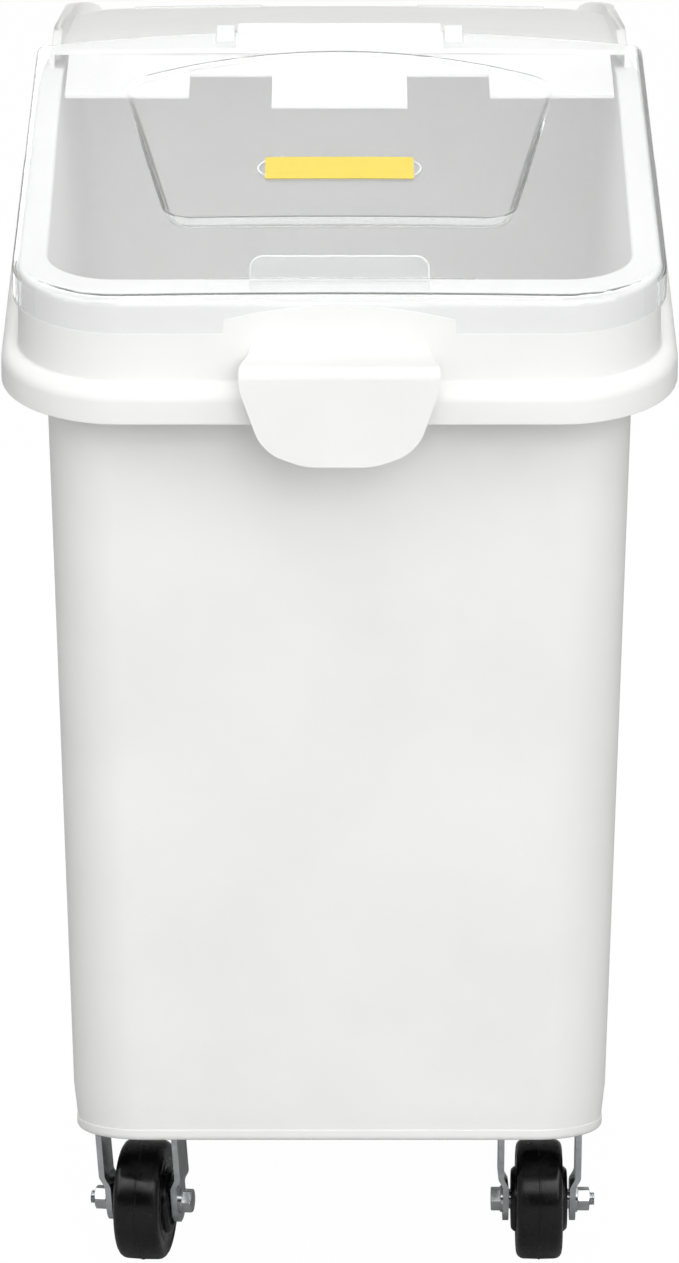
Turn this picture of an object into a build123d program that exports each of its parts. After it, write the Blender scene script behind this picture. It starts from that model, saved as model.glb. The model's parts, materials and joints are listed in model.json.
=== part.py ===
from build123d import *
import math
import os

os.makedirs("parts", exist_ok=True)

# Rolling ingredient bin: millimetres, +Z up, front towards -Y, wheels on Z = 0.
# Distances called "back" run towards +Y from the front face of the rim flange.

# Rim: an inverted channel of ledge, collar and outward flange round the tub's mouth
flange_width = 394.0
flange_length = 725.0
flange_corner = 70.0
flange_overhang = 10.0
flange_height = 20.6
flange_round = 8.0
collar_height = 46.1
collar_round = 3.0
rim_wall = 3.5
ledge_front = 588.4
front_slope = 15.6
bend_back = 370.0
bend_radius = 140.0

# Tub wall, floor and base skirt
base_height = 88.0
floor_height = 104.0
base_width = 314.0
base_length = 643.0
side_draft = 1.8
end_draft = 0.3
wall_corner = 42.0
tub_wall = 3.5
floor_thickness = 4.0
inner_floor_round = 22.0
skirt_step = 1.0
skirt_step_height = 114.0
skirt_round = 4.0
pad_margin = 4.0
pad_rise = 12.0
pad_round = 5.0

# Tongue handle on the front of the rim
tongue_reach = 24.0
tongue_width = 115.0
tongue_wall = 4.5
tongue_root_drop = 28.2
tongue_shoulder_drop = 39.0
tongue_taper_drop = 46.0
tongue_knee_drop = 82.0
tongue_knee_width = 88.0
tongue_bottom_drop = 90.5
tongue_bottom_width = 40.0
tongue_bend = 12.0
tongue_corner = 22.0
tongue_edge_round = 2.0

# Clear front lid
lid_back = 410.0
lid_wall = 2.5
lid_gap = 0.6
lid_skirt = 17.2
lid_crown_front = 2.5
lid_crown_rear = 10.5
lid_edge_round = 5.0
arch_width = 134.0
arch_side_rise = 7.0
arch_rise = 15.0
tab_width = 104.0
tab_height = 13.5
tab_thickness = 2.5
tab_lean = 12.0
tab_corner = 8.0
tab_back = 30.0

# Recessed panel in the lid and the label that lies in it
panel_front_back = 121.0
panel_rear_back = 378.0
panel_front_width = 204.0
panel_flare = 8.8
panel_depth = 9.0
panel_crown_share = 0.72
panel_wall_lean = 25.0
panel_corner = 14.0
label_width = 89.0
label_length = 30.0
label_thickness = 0.3
label_corner = 1.0
label_from_panel_front = 71.0

# Fixed rear lid
cap_inset = 5.0
cap_corner = 45.0
cap_wall = 3.0
cap_front_gap = 3.0
cap_front_rise = 10.5
cap_rear_rise = 15.9
cap_crown_front = 1.5
cap_crown_rear = 3.3
cap_edge_round = 2.0
lip_depth = 8.0
lip_gap = 0.4
apron_front_back = 345.0
apron_drop = 4.0
apron_side_gap = 8.0
apron_centre_width = 84.0
apron_centre_reach = 17.0
notch_width = 51.0
notch_depth = 37.0
ear_height = 22.6
ear_thickness = 6.0
ear_front_back = 436.0
ear_slope_length = 46.0
ear_rear_inset = 12.0
ear_rear_slope = 8.0
ear_round = 2.0

# Hinge between the two lids
hinge_back = 422.0
hinge_rise = 21.4
hinge_pin_diameter = 5.0
knuckle_diameter = 15.0
knuckle_length = 130.0
knuckle_round = 3.0
lug_diameter = 12.0
lug_width = 12.0
lug_gap = 0.6
lug_reach = 26.0
running_gap = 0.05

# Casters
wheel_diameter = 73.0
tyre_width = 27.5
tyre_shoulder = 4.0
mould_line_width = 1.0
mould_line_height = 0.4
hub_width = 33.5
hub_face_diameter = 39.0
hub_bevel = 1.8
hub_seat_diameter = 50.0
hub_seat_width = 18.0
moulded_gap = 0.05
fork_inner_width = 36.5
fork_wall = 3.5
fork_end_radius = 13.0
fork_crown_front = 12.0
fork_crown_rear = 14.0
fork_bend_round = 3.0
rigid_leg_length = 24.0
axle_diameter = 8.0
sleeve_diameter = 12.0
washer_diameter = 16.0
washer_thickness = 1.5
hex_across_flats = 13.0
bolt_head_height = 5.5
nut_height = 7.0
thread_end = 3.0
hole_gap = 0.1
plate_width = 54.0
plate_length = 52.0
plate_thickness = 2.5
plate_corner = 9.0
plate_hole_spacing_x = 42.0
plate_hole_spacing_y = 38.0
plate_bolt_diameter = 6.0
plate_bolt_flats = 10.0
plate_bolt_head = 4.0
plate_bolt_reach = 8.0
dish_diameter = 22.0
dish_depth = 4.0
race_diameter = 34.0
race_width = 8.0
ball_diameter = 6.0
ball_count = 8
ball_gap = 0.15
race_gap = 1.4
kingpin_diameter = 10.0
kingpin_head_diameter = 18.0
kingpin_head_height = 3.0
swivel_gap = 0.3
crown_drop = 8.0
trail = 20.0
caster_inset_x = 37.5
caster_inset_y = 47.0
left_swivel_rest = -10.0

# Places worked out from the sizes above
front_y = (tongue_reach - flange_length) / 2
rear_y = front_y + flange_length
rim_y = (front_y + rear_y) / 2
collar_front = front_y + flange_overhang
collar_width = flange_width - 2 * flange_overhang
collar_length = flange_length - 2 * flange_overhang
collar_corner = flange_corner - flange_overhang
slope = math.tan(math.radians(front_slope))
side_lean = math.tan(math.radians(side_draft))
end_lean = math.tan(math.radians(end_draft))
bend_y = front_y + bend_back
lid_rear = front_y + lid_back
hinge_y = front_y + hinge_back


def slope_height(y):
    """Height of the ledge's front slope, carried on straight past the bend."""
    return ledge_front + (y - collar_front) * slope


rear_ledge = slope_height(bend_y)
hinge_z = rear_ledge + hinge_rise
above_all = rear_ledge + 2 * hinge_rise
wide = flange_width
outside = flange_length


def side_solid(face, width):
    """Side view face in Y and Z, drawn out to both sides of the middle."""
    return extrude(Plane.YZ * face, amount=width / 2, both=True)


def below_rim(shift):
    """Everything below the bent line of the rim, moved up by shift."""
    front = front_y - outside / 2
    rear = rear_y + outside / 2
    line = FilletPolyline(
        (front, slope_height(front) + shift),
        (bend_y, rear_ledge + shift),
        (rear, rear_ledge + shift),
        radius=bend_radius,
    )
    rest = Polyline(
        (rear, rear_ledge + shift),
        (rear, -outside),
        (front, -outside),
        (front, slope_height(front) + shift),
    )
    return side_solid(make_face(line + rest), 2 * wide)


def below_slope(shift):
    """Everything below the front slope carried on straight, moved up by shift."""
    front = front_y - outside / 2
    rear = rear_y + outside / 2
    face = Polyline(
        (front, slope_height(front) + shift),
        (rear, slope_height(rear) + shift),
        (rear, -outside),
        (front, -outside),
        close=True,
    )
    return side_solid(make_face(face), 2 * wide)


def column(width, length, corner):
    """Upright rounded column on the rim's middle, taller than the bin."""
    return extrude(Pos(0, rim_y, 0) * RectangleRounded(width, length, corner), amount=above_all)


def collar_column(inset):
    """Column of the collar's outline, made smaller all round by inset."""
    return column(collar_width - 2 * inset, collar_length - 2 * inset, collar_corner - inset)


def flange_column(inset):
    """Column of the flange's outline, made smaller all round by inset."""
    return column(flange_width - 2 * inset, flange_length - 2 * inset, flange_corner - inset)


def slab_before(y):
    """Everything in front of a depth."""
    return Pos(0, y - outside, 0) * Box(2 * wide, 2 * outside, 4 * outside)


def slab_above(z):
    """Everything above a height."""
    return Pos(0, 0, z + 2 * outside) * Box(2 * wide, 4 * outside, 4 * outside)


def upper_edges(solid):
    """Edges where the upward faces of a solid meet its upright sides."""
    tops = ShapeList(f for f in solid.faces() if f.normal_at().Z > 0.5)
    sides = ShapeList(f for f in solid.faces() if abs(f.normal_at().Z) < 0.2)
    return tops.edges() & sides.edges()


def wall_outline(z, inset):
    """Outline of the drafted tub wall at a height, made smaller all round by inset."""
    width = base_width + 2 * (z - base_height) * side_lean - 2 * inset
    length = base_length + 2 * (z - base_height) * end_lean - 2 * inset
    return Pos(0, rim_y, z) * RectangleRounded(width, length, wall_corner - inset)


def wall_form(low, high, inset):
    """Solid inside the drafted tub wall between two heights."""
    return loft([wall_outline(low, inset), wall_outline(high, inset)], ruled=True)


def crowned_form(front, rear, front_side, rear_side, front_crown, rear_crown):
    """Solid under a surface that is arched across X and changes its arch along Y."""
    half = flange_width / 2
    sections = []
    for y, side, crown in ((front, front_side, front_crown), (rear, rear_side, rear_crown)):
        arch = ThreePointArc((-half, side), (0, side + crown), (half, side))
        rest = Polyline((half, side), (half, 0), (-half, 0), (-half, side))
        sections.append(Plane((0, y, 0), (1, 0, 0), (0, -1, 0)) * make_face(arch + rest))
    return loft(sections, ruled=True)


# Casters: places of the four mounting plates
caster_x = base_width / 2 - caster_inset_x
caster_front = rim_y - base_length / 2 + caster_inset_y
caster_rear = rim_y + base_length / 2 - caster_inset_y
caster_places = [(s * caster_x, y) for y in (caster_front, caster_rear) for s in (-1, 1)]
plate_holes = [
    (sx * plate_hole_spacing_x / 2, sy * plate_hole_spacing_y / 2) for sx in (-1, 1) for sy in (-1, 1)
]


def make_tongue():
    """Pull handle: a sheet that leaves the collar, bends down in front of the flange and tapers."""
    front = front_y - tongue_reach
    root = collar_front + rim_wall / 2
    outer = FilletPolyline(
        (root, ledge_front - tongue_root_drop),
        (front, ledge_front - tongue_shoulder_drop),
        (front, ledge_front - tongue_bottom_drop),
        radius=tongue_bend,
    )
    inner = FilletPolyline(
        (front + tongue_wall, ledge_front - tongue_bottom_drop),
        (front + tongue_wall, ledge_front - tongue_shoulder_drop - tongue_wall),
        (root, ledge_front - tongue_root_drop - tongue_wall),
        radius=tongue_bend - tongue_wall,
    )
    ends = Line(outer @ 1, inner @ 0) + Line(inner @ 1, outer @ 0)
    sheet = side_solid(make_face(outer + inner + ends), tongue_width)
    half = tongue_width / 2
    knee = tongue_knee_width / 2
    foot = tongue_bottom_width / 2
    outline = make_face(
        Polyline(
            (-half, ledge_front),
            (half, ledge_front),
            (half, ledge_front - tongue_taper_drop),
            (knee, ledge_front - tongue_knee_drop),
            (foot, ledge_front - tongue_bottom_drop),
            (-foot, ledge_front - tongue_bottom_drop),
            (-knee, ledge_front - tongue_knee_drop),
            (-half, ledge_front - tongue_taper_drop),
            close=True,
        )
    )
    lower = outline.vertices().sort_by(Axis.Y)[:6]
    outline = fillet(lower, tongue_corner)
    front_plane = Plane((0, front, 0), (1, 0, 0), (0, -1, 0))
    cutter = extrude(front_plane * outline, amount=-2 * tongue_reach - 2 * flange_overhang)
    tongue = sheet & cutter
    pad = tongue.faces().sort_by(Axis.Y)[0]
    rim = [e for e in pad.edges() if e.center().Z < ledge_front - tongue_shoulder_drop - tongue_bend]
    return fillet(rim, tongue_edge_round)


def make_tub():
    """One-piece tub: drafted wall, floor, base skirt, rim channel, caster pads and tongue handle."""
    wall = wall_form(skirt_step_height, above_all, 0)
    skirt = wall_form(base_height, skirt_step_height, skirt_step)
    skirt = fillet(skirt.faces().sort_by(Axis.Z)[0].edges(), skirt_round)
    collar = collar_column(0) & (below_rim(0) - below_rim(-collar_height - flange_height))
    collar = fillet(upper_edges(collar), collar_round)
    flange = flange_column(0) & (below_rim(-collar_height) - below_rim(-collar_height - flange_height))
    flange = fillet(upper_edges(flange), flange_round)
    tub = (wall & below_rim(0)) + skirt + collar + flange

    channel = collar_column(rim_wall) & below_rim(-rim_wall)
    channel = channel + (flange_column(rim_wall) & below_rim(-collar_height - rim_wall))
    channel = channel - wall - wall_form(base_height - skirt_round, skirt_step_height, 0)
    tub = tub - channel

    inner_floor = floor_height + floor_thickness
    inside = wall_form(inner_floor, above_all, tub_wall)
    inside = fillet(inside.faces().sort_by(Axis.Z)[0].edges(), inner_floor_round)
    pads = []
    for x, y in caster_places:
        pad = Box(plate_width + 2 * pad_margin, plate_length + 2 * pad_margin, 2 * pad_rise)
        pad = Pos(x, y, inner_floor) * pad
        top = pad.faces().sort_by(Axis.Z)[-1].edges()
        pads.append(fillet(top + pad.edges().filter_by(Axis.Z), pad_round))
    for pad in pads:
        inside = inside - pad
    tub = tub - inside
    tub = tub - wall_form(base_height - skirt_round, floor_height, tub_wall + skirt_step)
    for x, y in caster_places:
        for hx, hy in plate_holes:
            radius = plate_bolt_diameter / 2 + hole_gap
            depth = plate_bolt_reach + 2 * swivel_gap
            tub = tub - Pos(x + hx, y + hy, floor_height) * Cylinder(radius, 2 * depth)
    return tub + make_tongue()


def lid_crown(y):
    """Rise of the lid's arch at a depth."""
    share = (y - collar_front) / (lid_rear - collar_front)
    return lid_crown_front + share * (lid_crown_rear - lid_crown_front)


def panel_floor(shift):
    """Solid under the recessed panel's floor, which meets the lid's top at its rear, moved up by shift."""
    near = front_y + panel_front_back
    meet = front_y + panel_rear_back
    heights = {}
    for y in (collar_front, rear_y):
        depth = panel_depth * (meet - y) / (meet - near)
        crown = panel_crown_share * lid_crown(y)
        middle = slope_height(y) + lid_gap + lid_wall + lid_crown(y) - depth
        heights[y] = (middle - crown + shift, crown)
    near_side, near_crown = heights[collar_front]
    far_side, far_crown = heights[rear_y]
    return crowned_form(collar_front, rear_y, near_side, far_side, near_crown, far_crown)


def panel_pocket(grow):
    """Pocket of the recessed panel, widening upwards, grown all round by grow."""
    near = front_y + panel_front_back
    length = lid_back + flange_overhang - panel_front_back
    half = panel_front_width / 2
    far = half + length * math.tan(math.radians(panel_flare))
    outline = make_face(Polyline((-half, 0), (half, 0), (far, length), (-far, length), close=True))
    outline = fillet(outline.vertices().sort_by(Axis.Y)[:2], panel_corner)
    outline = offset(outline, grow - panel_depth * math.tan(math.radians(panel_wall_lean)))
    low = slope_height(near) + lid_gap + lid_wall + lid_crown(near) - 2 * panel_depth
    tilt = math.radians(front_slope)
    base = Plane((0, near, low), (1, 0, 0), (0, -math.sin(tilt), math.cos(tilt)))
    walls = extrude(base * outline, amount=4 * panel_depth, taper=-panel_wall_lean)
    return walls - panel_floor(-grow)


def lid_form(shift, inset, rear):
    """Solid under the lid's crowned top within its outline."""
    front = collar_front - 2 * flange_overhang
    far = rear + 2 * flange_overhang
    form = crowned_form(
        front, far, slope_height(front) + shift, slope_height(far) + shift, lid_crown(front), lid_crown(far)
    )
    return collar_column(-lid_gap - lid_wall + inset) & form & slab_before(rear)


def make_front_lid():
    """Clear lid: crowned sheet with a skirt on three sides, recessed panel, arch, finger tab and lugs."""
    outer = lid_form(lid_gap + lid_wall, 0, lid_rear) - below_slope(-lid_skirt)
    outer = fillet(upper_edges(outer).filter_by(lambda e: e.center().Y < lid_rear - lid_wall), lid_edge_round)
    outer = outer - panel_pocket(0)
    inner = lid_form(lid_gap, lid_wall, lid_rear + flange_overhang) - panel_pocket(lid_wall)
    lid = outer - inner

    half = arch_width / 2
    low = slope_height(collar_front) - lid_skirt
    foot = low - arch_rise
    side = low + arch_side_rise
    arch = ThreePointArc((-half, side), (0, low + arch_rise), (half, side))
    rest = Polyline((half, side), (half, foot), (-half, foot), (-half, side))
    arch_plane = Plane((0, collar_front, 0), (1, 0, 0), (0, -1, 0))
    lid = lid - extrude(arch_plane * make_face(arch + rest), amount=2 * flange_overhang, both=True)

    tab_y = front_y + tab_back
    tab = RectangleRounded(tab_width, 2 * tab_height, tab_corner)
    tab = Rot(90, 0, 0) * extrude(tab, amount=tab_thickness)
    tab_z = slope_height(tab_y) + lid_gap + lid_wall + lid_crown_front
    tab = Pos(0, tab_y, tab_z) * Rot(-tab_lean, 0, 0) * tab
    lid = lid + (tab - below_slope(lid_gap + lid_wall / 2))

    lug_x = knuckle_length / 2 + lug_gap
    barrel = Pos(hinge_y, hinge_z) * Circle(lug_diameter / 2)
    root_y = hinge_y - lug_reach
    root_z = slope_height(root_y) + lid_gap + lid_crown_rear * (1 - (lug_x / (flange_width / 2)) ** 2)
    root = Pos(root_y, root_z) * Rectangle(lid_wall / 2, lid_wall)
    arm = make_hull(barrel.edges() + root.edges())
    arm = arm - Pos(hinge_y, hinge_z) * Circle(hinge_pin_diameter / 2 + running_gap)
    lug = extrude(Plane.YZ * arm, amount=lug_width)
    return lid + Pos(lug_x, 0, 0) * lug + Pos(-lug_x - lug_width, 0, 0) * lug


def make_label():
    """Plain strip stuck on the floor of the recessed panel."""
    middle = front_y + panel_front_back + label_from_panel_front + label_length / 2
    outline = Pos(0, middle) * RectangleRounded(label_width, label_length, label_corner)
    return extrude(outline, amount=above_all) & (panel_floor(label_thickness) - panel_floor(0))


def cap_form(inset):
    """Solid of the rear lid under its crowned deck, made smaller all round by inset."""
    front = lid_rear + cap_front_gap
    rear = rear_y
    form = crowned_form(
        front,
        rear,
        rear_ledge + cap_front_rise - inset,
        rear_ledge + cap_rear_rise - inset,
        cap_crown_front,
        cap_crown_rear,
    )
    side = cap_inset + inset
    body = column(collar_width - 2 * side, collar_length - 2 * side, cap_corner - inset)
    return body & form - slab_before(front + inset)


def make_rear_lid():
    """Opaque rear lid: crowned deck on a stepped rim, side ears, notched apron and hinge knuckle."""
    front = lid_rear + cap_front_gap
    cap = cap_form(0) & slab_above(rear_ledge)
    cap = fillet(upper_edges(cap), cap_edge_round)
    cap = cap - cap_form(cap_wall)

    lip_top = rear_ledge + cap_wall
    lip_low = rear_ledge - lip_depth
    lip = wall_form(lip_low, lip_top, tub_wall + lip_gap)
    lip = lip - wall_form(lip_low, lip_top, tub_wall + lip_gap + cap_wall)
    foot = (cap_form(0) & slab_above(rear_ledge)) - slab_above(lip_top)
    foot = foot - wall_form(lip_low, lip_top, tub_wall + lip_gap + cap_wall)
    cap = cap + (lip - slab_before(front)) + foot

    half = base_width / 2 + (rear_ledge - base_height) * side_lean - tub_wall - apron_side_gap
    near = front_y + apron_front_back
    centre = apron_centre_width / 2
    notch = centre + notch_width
    steps = [
        (half, near),
        (notch, near),
        (notch, near + notch_depth),
        (centre, near + notch_depth),
        (centre, near - apron_centre_reach),
    ]
    mirrored = [(-x, y) for x, y in reversed(steps)]
    back = front + cap_wall
    outline = make_face(Polyline((half, back), *steps, *mirrored, (-half, back), close=True))
    band = below_slope(-apron_drop) - below_slope(-apron_drop - cap_wall)
    cap = cap + (extrude(outline, amount=above_all) & band)

    ear_top = rear_ledge + ear_height
    ear_front = front_y + ear_front_back
    ear_rear = rear_y - flange_overhang - cap_inset - ear_rear_inset
    profile = make_face(
        Polyline(
            (ear_front, rear_ledge + cap_front_rise),
            (ear_front + ear_slope_length, ear_top),
            (ear_rear - ear_rear_slope, ear_top),
            (ear_rear, rear_ledge + cap_rear_rise),
            (ear_rear, rear_ledge + cap_wall),
            (ear_front, rear_ledge + cap_wall),
            close=True,
        )
    )
    profile = fillet(profile.vertices().group_by(Axis.Y)[-1], ear_rear_slope)
    side = collar_width - 2 * cap_inset
    length = collar_length - 2 * cap_inset
    ring = column(side, length, cap_corner)
    ring = ring - column(side - 2 * ear_thickness, length - 2 * ear_thickness, cap_corner - ear_thickness)
    ears = ring & side_solid(profile, wide)
    for ear in ears.solids():
        crest = ShapeList(f for f in ear.faces() if f.normal_at().Z > 0.3)
        walls = ShapeList(f for f in ear.faces() if abs(f.normal_at().Z) < 0.2)
        cap = cap + ear.fillet(ear_round, crest.edges() & walls.edges())

    radius = knuckle_diameter / 2
    barrel = Pos(hinge_y, hinge_z) * Circle(radius)
    deck = rear_ledge + cap_front_rise - cap_wall / 2
    web = Pos(hinge_y, (hinge_z + deck) / 2) * Rectangle(knuckle_diameter, hinge_z - deck)
    knuckle = side_solid(barrel + web, knuckle_length)
    ends = knuckle.faces().filter_by(Axis.X).edges().filter_by(GeomType.CIRCLE)
    knuckle = fillet(ends, knuckle_round)
    bore = Rot(0, 90, 0) * Cylinder(hinge_pin_diameter / 2 + running_gap, 2 * knuckle_length)
    return cap + knuckle - Pos(0, hinge_y, hinge_z) * bore


def make_hinge_pin():
    """Steel pin through the knuckle and both lugs."""
    length = knuckle_length + 2 * (lug_gap + lug_width)
    pin = Rot(0, 90, 0) * Cylinder(hinge_pin_diameter / 2, length)
    pin = chamfer(pin.edges().filter_by(GeomType.CIRCLE), hinge_pin_diameter / 8)
    return Pos(0, hinge_y, hinge_z) * pin


def around_axle(face):
    """Profile of distance along the axle and radius, turned round the axle at the wheel's height."""
    return Pos(0, 0, wheel_diameter / 2) * revolve(face, Axis.X)


def make_hub():
    """Wheel centre with a bevelled face each side and a seat for the tyre."""
    half = hub_width / 2
    seat = hub_seat_width / 2
    face = hub_face_diameter / 2
    bore = sleeve_diameter / 2 + running_gap
    right = [
        (half, bore),
        (half, face - hub_bevel),
        (half - hub_bevel, face),
        (seat, face),
        (seat, hub_seat_diameter / 2),
    ]
    left = [(-x, r) for x, r in reversed(right)]
    return around_axle(make_face(Polyline(*right, *left, close=True)))


def make_tyre():
    """Moulded tyre with rounded shoulders and a mould line round its middle."""
    half = tyre_width / 2
    seat = hub_seat_width / 2 + moulded_gap
    inner = hub_face_diameter / 2 + moulded_gap
    groove = hub_seat_diameter / 2 + moulded_gap
    radius = wheel_diameter / 2 - mould_line_height
    right = [(half, radius), (half, inner), (seat, inner), (seat, groove)]
    left = [(-x, r) for x, r in reversed(right)]
    outline = make_face(Polyline(*right, *left, close=True))
    outline = fillet(outline.vertices().group_by(Axis.Y)[-1], tyre_shoulder)
    line = Pos(0, radius) * Rectangle(mould_line_width, 2 * mould_line_height)
    return around_axle(outline + line)


def hexagon_bar(across_flats, length):
    """Hexagon bar along +X from the origin, with its ends chamfered round."""
    radius = across_flats / math.sqrt(3)
    bar = extrude(Plane.YZ * RegularPolygon(radius, 6), amount=length)
    bevel = radius - across_flats / 2
    turned = Rot(0, 90, 0) * Cylinder(radius, length, align=(Align.CENTER, Align.CENTER, Align.MIN))
    turned = chamfer(turned.edges().filter_by(GeomType.CIRCLE), bevel / 2, bevel)
    return bar & turned


def rod(radius, start, end):
    """Round bar along X between two places."""
    bar = Rot(0, 90, 0) * Cylinder(radius, end - start)
    return Pos((start + end) / 2, 0, 0) * bar


def make_axle_set():
    """Bolt with its head towards +X, nut, spacer sleeve and washers, on the axle line."""
    leg = fork_inner_width / 2 + fork_wall
    seat = leg + washer_thickness
    radius = axle_diameter / 2
    shank = rod(radius, -seat - nut_height - thread_end, seat)
    shank = chamfer(shank.faces().sort_by(Axis.X)[0].edges(), radius / 5)
    bolt = shank + Pos(seat, 0, 0) * hexagon_bar(hex_across_flats, bolt_head_height)
    hole = rod(radius + running_gap, -2 * seat, 2 * seat)
    nut = Pos(-seat - nut_height, 0, 0) * hexagon_bar(hex_across_flats, nut_height) - hole
    sleeve = rod(sleeve_diameter / 2, -fork_inner_width / 2, fork_inner_width / 2) - hole
    washers = rod(washer_diameter / 2, leg, seat) + rod(washer_diameter / 2, -seat, -leg)
    lift = Pos(0, 0, wheel_diameter / 2)
    return {
        "axle_bolt": lift * bolt,
        "axle_nut": lift * nut,
        "axle_sleeve": lift * sleeve,
        "axle_washers": lift * (washers - hole),
    }


def fork_leg(top, front, rear, axle_y):
    """One fork leg in side view: a taper from the crown to the round end at the axle."""
    axle = Pos(axle_y, wheel_diameter / 2) * Circle(fork_end_radius)
    crown = Pos((rear - front) / 2, top - fork_wall / 2) * Rectangle(front + rear, fork_wall)
    outline = make_hull(axle.edges() + crown.edges())
    outline = outline - Pos(axle_y, wheel_diameter / 2) * Circle(axle_diameter / 2 + hole_gap)
    leg = extrude(Plane.YZ * outline, amount=fork_wall)
    inner = fork_inner_width / 2
    return Pos(inner, 0, 0) * leg + Pos(-inner - fork_wall, 0, 0) * leg


def bent_crown(top, front, rear):
    """Flat crown between the legs, with its two bends rounded on the outside."""
    width = fork_inner_width + 2 * fork_wall
    crown = Box(width, front + rear, fork_wall)
    crown = fillet(crown.edges().filter_by(Axis.Y).group_by(Axis.Z)[-1], fork_bend_round)
    return Pos(0, (rear - front) / 2, top - fork_wall / 2) * crown


def plate_blank():
    """Mounting plate under the tub floor with its four bolt holes."""
    plate = extrude(RectangleRounded(plate_width, plate_length, plate_corner), amount=-plate_thickness)
    for x, y in plate_holes:
        plate = plate - Pos(x, y) * Cylinder(plate_bolt_diameter / 2 + hole_gap, 4 * plate_thickness)
    return Pos(0, 0, floor_height) * plate


def make_plate_bolts():
    """Four hexagon screws up through the plate into the tub's pads."""
    under = floor_height - plate_thickness
    bolts = []
    for x, y in plate_holes:
        head = Rot(0, 90, 0) * hexagon_bar(plate_bolt_flats, plate_bolt_head)
        length = plate_thickness + plate_bolt_reach
        shank = Pos(0, 0, length / 2) * Cylinder(plate_bolt_diameter / 2, length)
        bolts.append(Pos(x, y, under) * (head + shank))
    return Part() + bolts


def ring(outer, inner, low, high):
    """Flat ring about the swivel axis between two heights."""
    blank = Cylinder(outer, high - low) - Cylinder(inner, 2 * (high - low))
    return Pos(0, 0, (low + high) / 2) * blank


# Heights in the swivel bearing, from the plate downwards
plate_under = floor_height - plate_thickness
ball_z = plate_under - ball_diameter / 2 - ball_gap - swivel_gap
race_under = ball_z + race_gap / 2
fork_race_top = ball_z - race_gap / 2
fork_top = floor_height - crown_drop
race_inner = (race_diameter - race_width) / 2
race_outer = (race_diameter + race_width) / 2
track = Pos(0, 0, ball_z) * Torus(race_diameter / 2, ball_diameter / 2 + ball_gap)


def make_swivel_plate():
    """Top plate pressed down in the middle for the kingpin's head, with the upper ball race."""
    radius = dish_diameter / 2
    low = floor_height - dish_depth
    dish = Pos(0, 0, low - plate_thickness / 2) * Cylinder(radius, plate_thickness)
    wall = ring(radius + plate_thickness, radius, low - plate_thickness, floor_height)
    plate = plate_blank() - Pos(0, 0, floor_height) * Cylinder(radius, 2 * dish_depth)
    plate = plate + dish + wall + ring(race_outer, race_inner, race_under, floor_height - plate_thickness / 2)
    hole = Cylinder(kingpin_diameter / 2 + running_gap, 4 * floor_height)
    return plate - track - hole


def make_kingpin():
    """Headed pin that holds the fork to the plate and that the fork turns on."""
    upper = floor_height - dish_depth
    lower = fork_top - fork_wall - swivel_gap
    shaft = Pos(0, 0, (lower + upper) / 2) * Cylinder(kingpin_diameter / 2, upper - lower)
    head = Cylinder(kingpin_head_diameter / 2, kingpin_head_height)
    top = Pos(0, 0, upper + kingpin_head_height / 2) * head
    foot = Pos(0, 0, lower - kingpin_head_height / 2) * head
    foot = fillet(foot.edges().sort_by(Axis.Z)[0], kingpin_head_height / 3)
    return shaft + top + foot


def make_balls():
    """Ring of balls between the two races."""
    ball = Pos(race_diameter / 2, 0, ball_z) * Sphere(ball_diameter / 2)
    return Part() + [Rot(0, 0, 360 * i / ball_count) * ball for i in range(ball_count)]


def make_swivel_fork():
    """Fork with its crown, lower ball race and two trailing legs."""
    fork = bent_crown(fork_top, fork_crown_front, fork_crown_rear)
    fork = fork + fork_leg(fork_top, fork_crown_front, fork_crown_rear, trail) - bend_waste()
    fork = fork + ring(race_outer, race_inner, fork_top - fork_wall, fork_race_top)
    hole = Cylinder(kingpin_diameter / 2 + running_gap, 4 * floor_height)
    return fork - track - hole


def bend_waste():
    """Corners outside the rounded bends of the crown."""
    length = fork_crown_front + fork_crown_rear
    block = Box(fork_inner_width + 2 * fork_wall, 2 * length, fork_wall)
    round_block = fillet(block.edges().filter_by(Axis.Y).group_by(Axis.Z)[-1], fork_bend_round)
    return Pos(0, 0, fork_top - fork_wall / 2) * (block - round_block)


def make_rigid_bracket():
    """Rear bracket: mounting plate and two straight legs in one pressing."""
    half = rigid_leg_length / 2
    return plate_blank() + fork_leg(floor_height, half, half, 0)


def write(name, solid):
    """Write one piece under its own name."""
    solid.label = name
    export_step(solid, "parts/" + name + ".step")


write("tub", make_tub())
write("rear_lid", make_rear_lid())
write("front_lid", make_front_lid())
write("hinge_pin", make_hinge_pin())
write("label", make_label())

wheel = {"hub": make_hub(), "tyre": make_tyre()}
axle_set = make_axle_set()
fixed_set = {"top_plate": make_swivel_plate(), "kingpin": make_kingpin(), "plate_bolts": make_plate_bolts()}
swivel_set = {"fork": make_swivel_fork(), "balls": make_balls()}
rigid_set = {"bracket": make_rigid_bracket(), "plate_bolts": make_plate_bolts()}
for side, sign, rest in (("left", -1, left_swivel_rest), ("right", 1, 0.0)):
    outward = Rot(0, 0, 0) if sign < 0 else Rot(0, 0, 180)
    front_place = Pos(sign * caster_x, caster_front, 0)
    rear_place = Pos(sign * caster_x, caster_rear, 0)
    turned = front_place * Rot(0, 0, rest)
    rolling = {**wheel, **{name: outward * piece for name, piece in axle_set.items()}}
    for name, piece in fixed_set.items():
        write("front_" + side + "_" + name, front_place * piece)
    for name, piece in swivel_set.items():
        write("front_" + side + "_" + name, turned * piece)
    for name, piece in rigid_set.items():
        write("rear_" + side + "_" + name, rear_place * piece)
    for name, piece in rolling.items():
        write("front_" + side + "_" + name, turned * Pos(0, trail, 0) * piece)
        write("rear_" + side + "_" + name, rear_place * piece)
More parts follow.
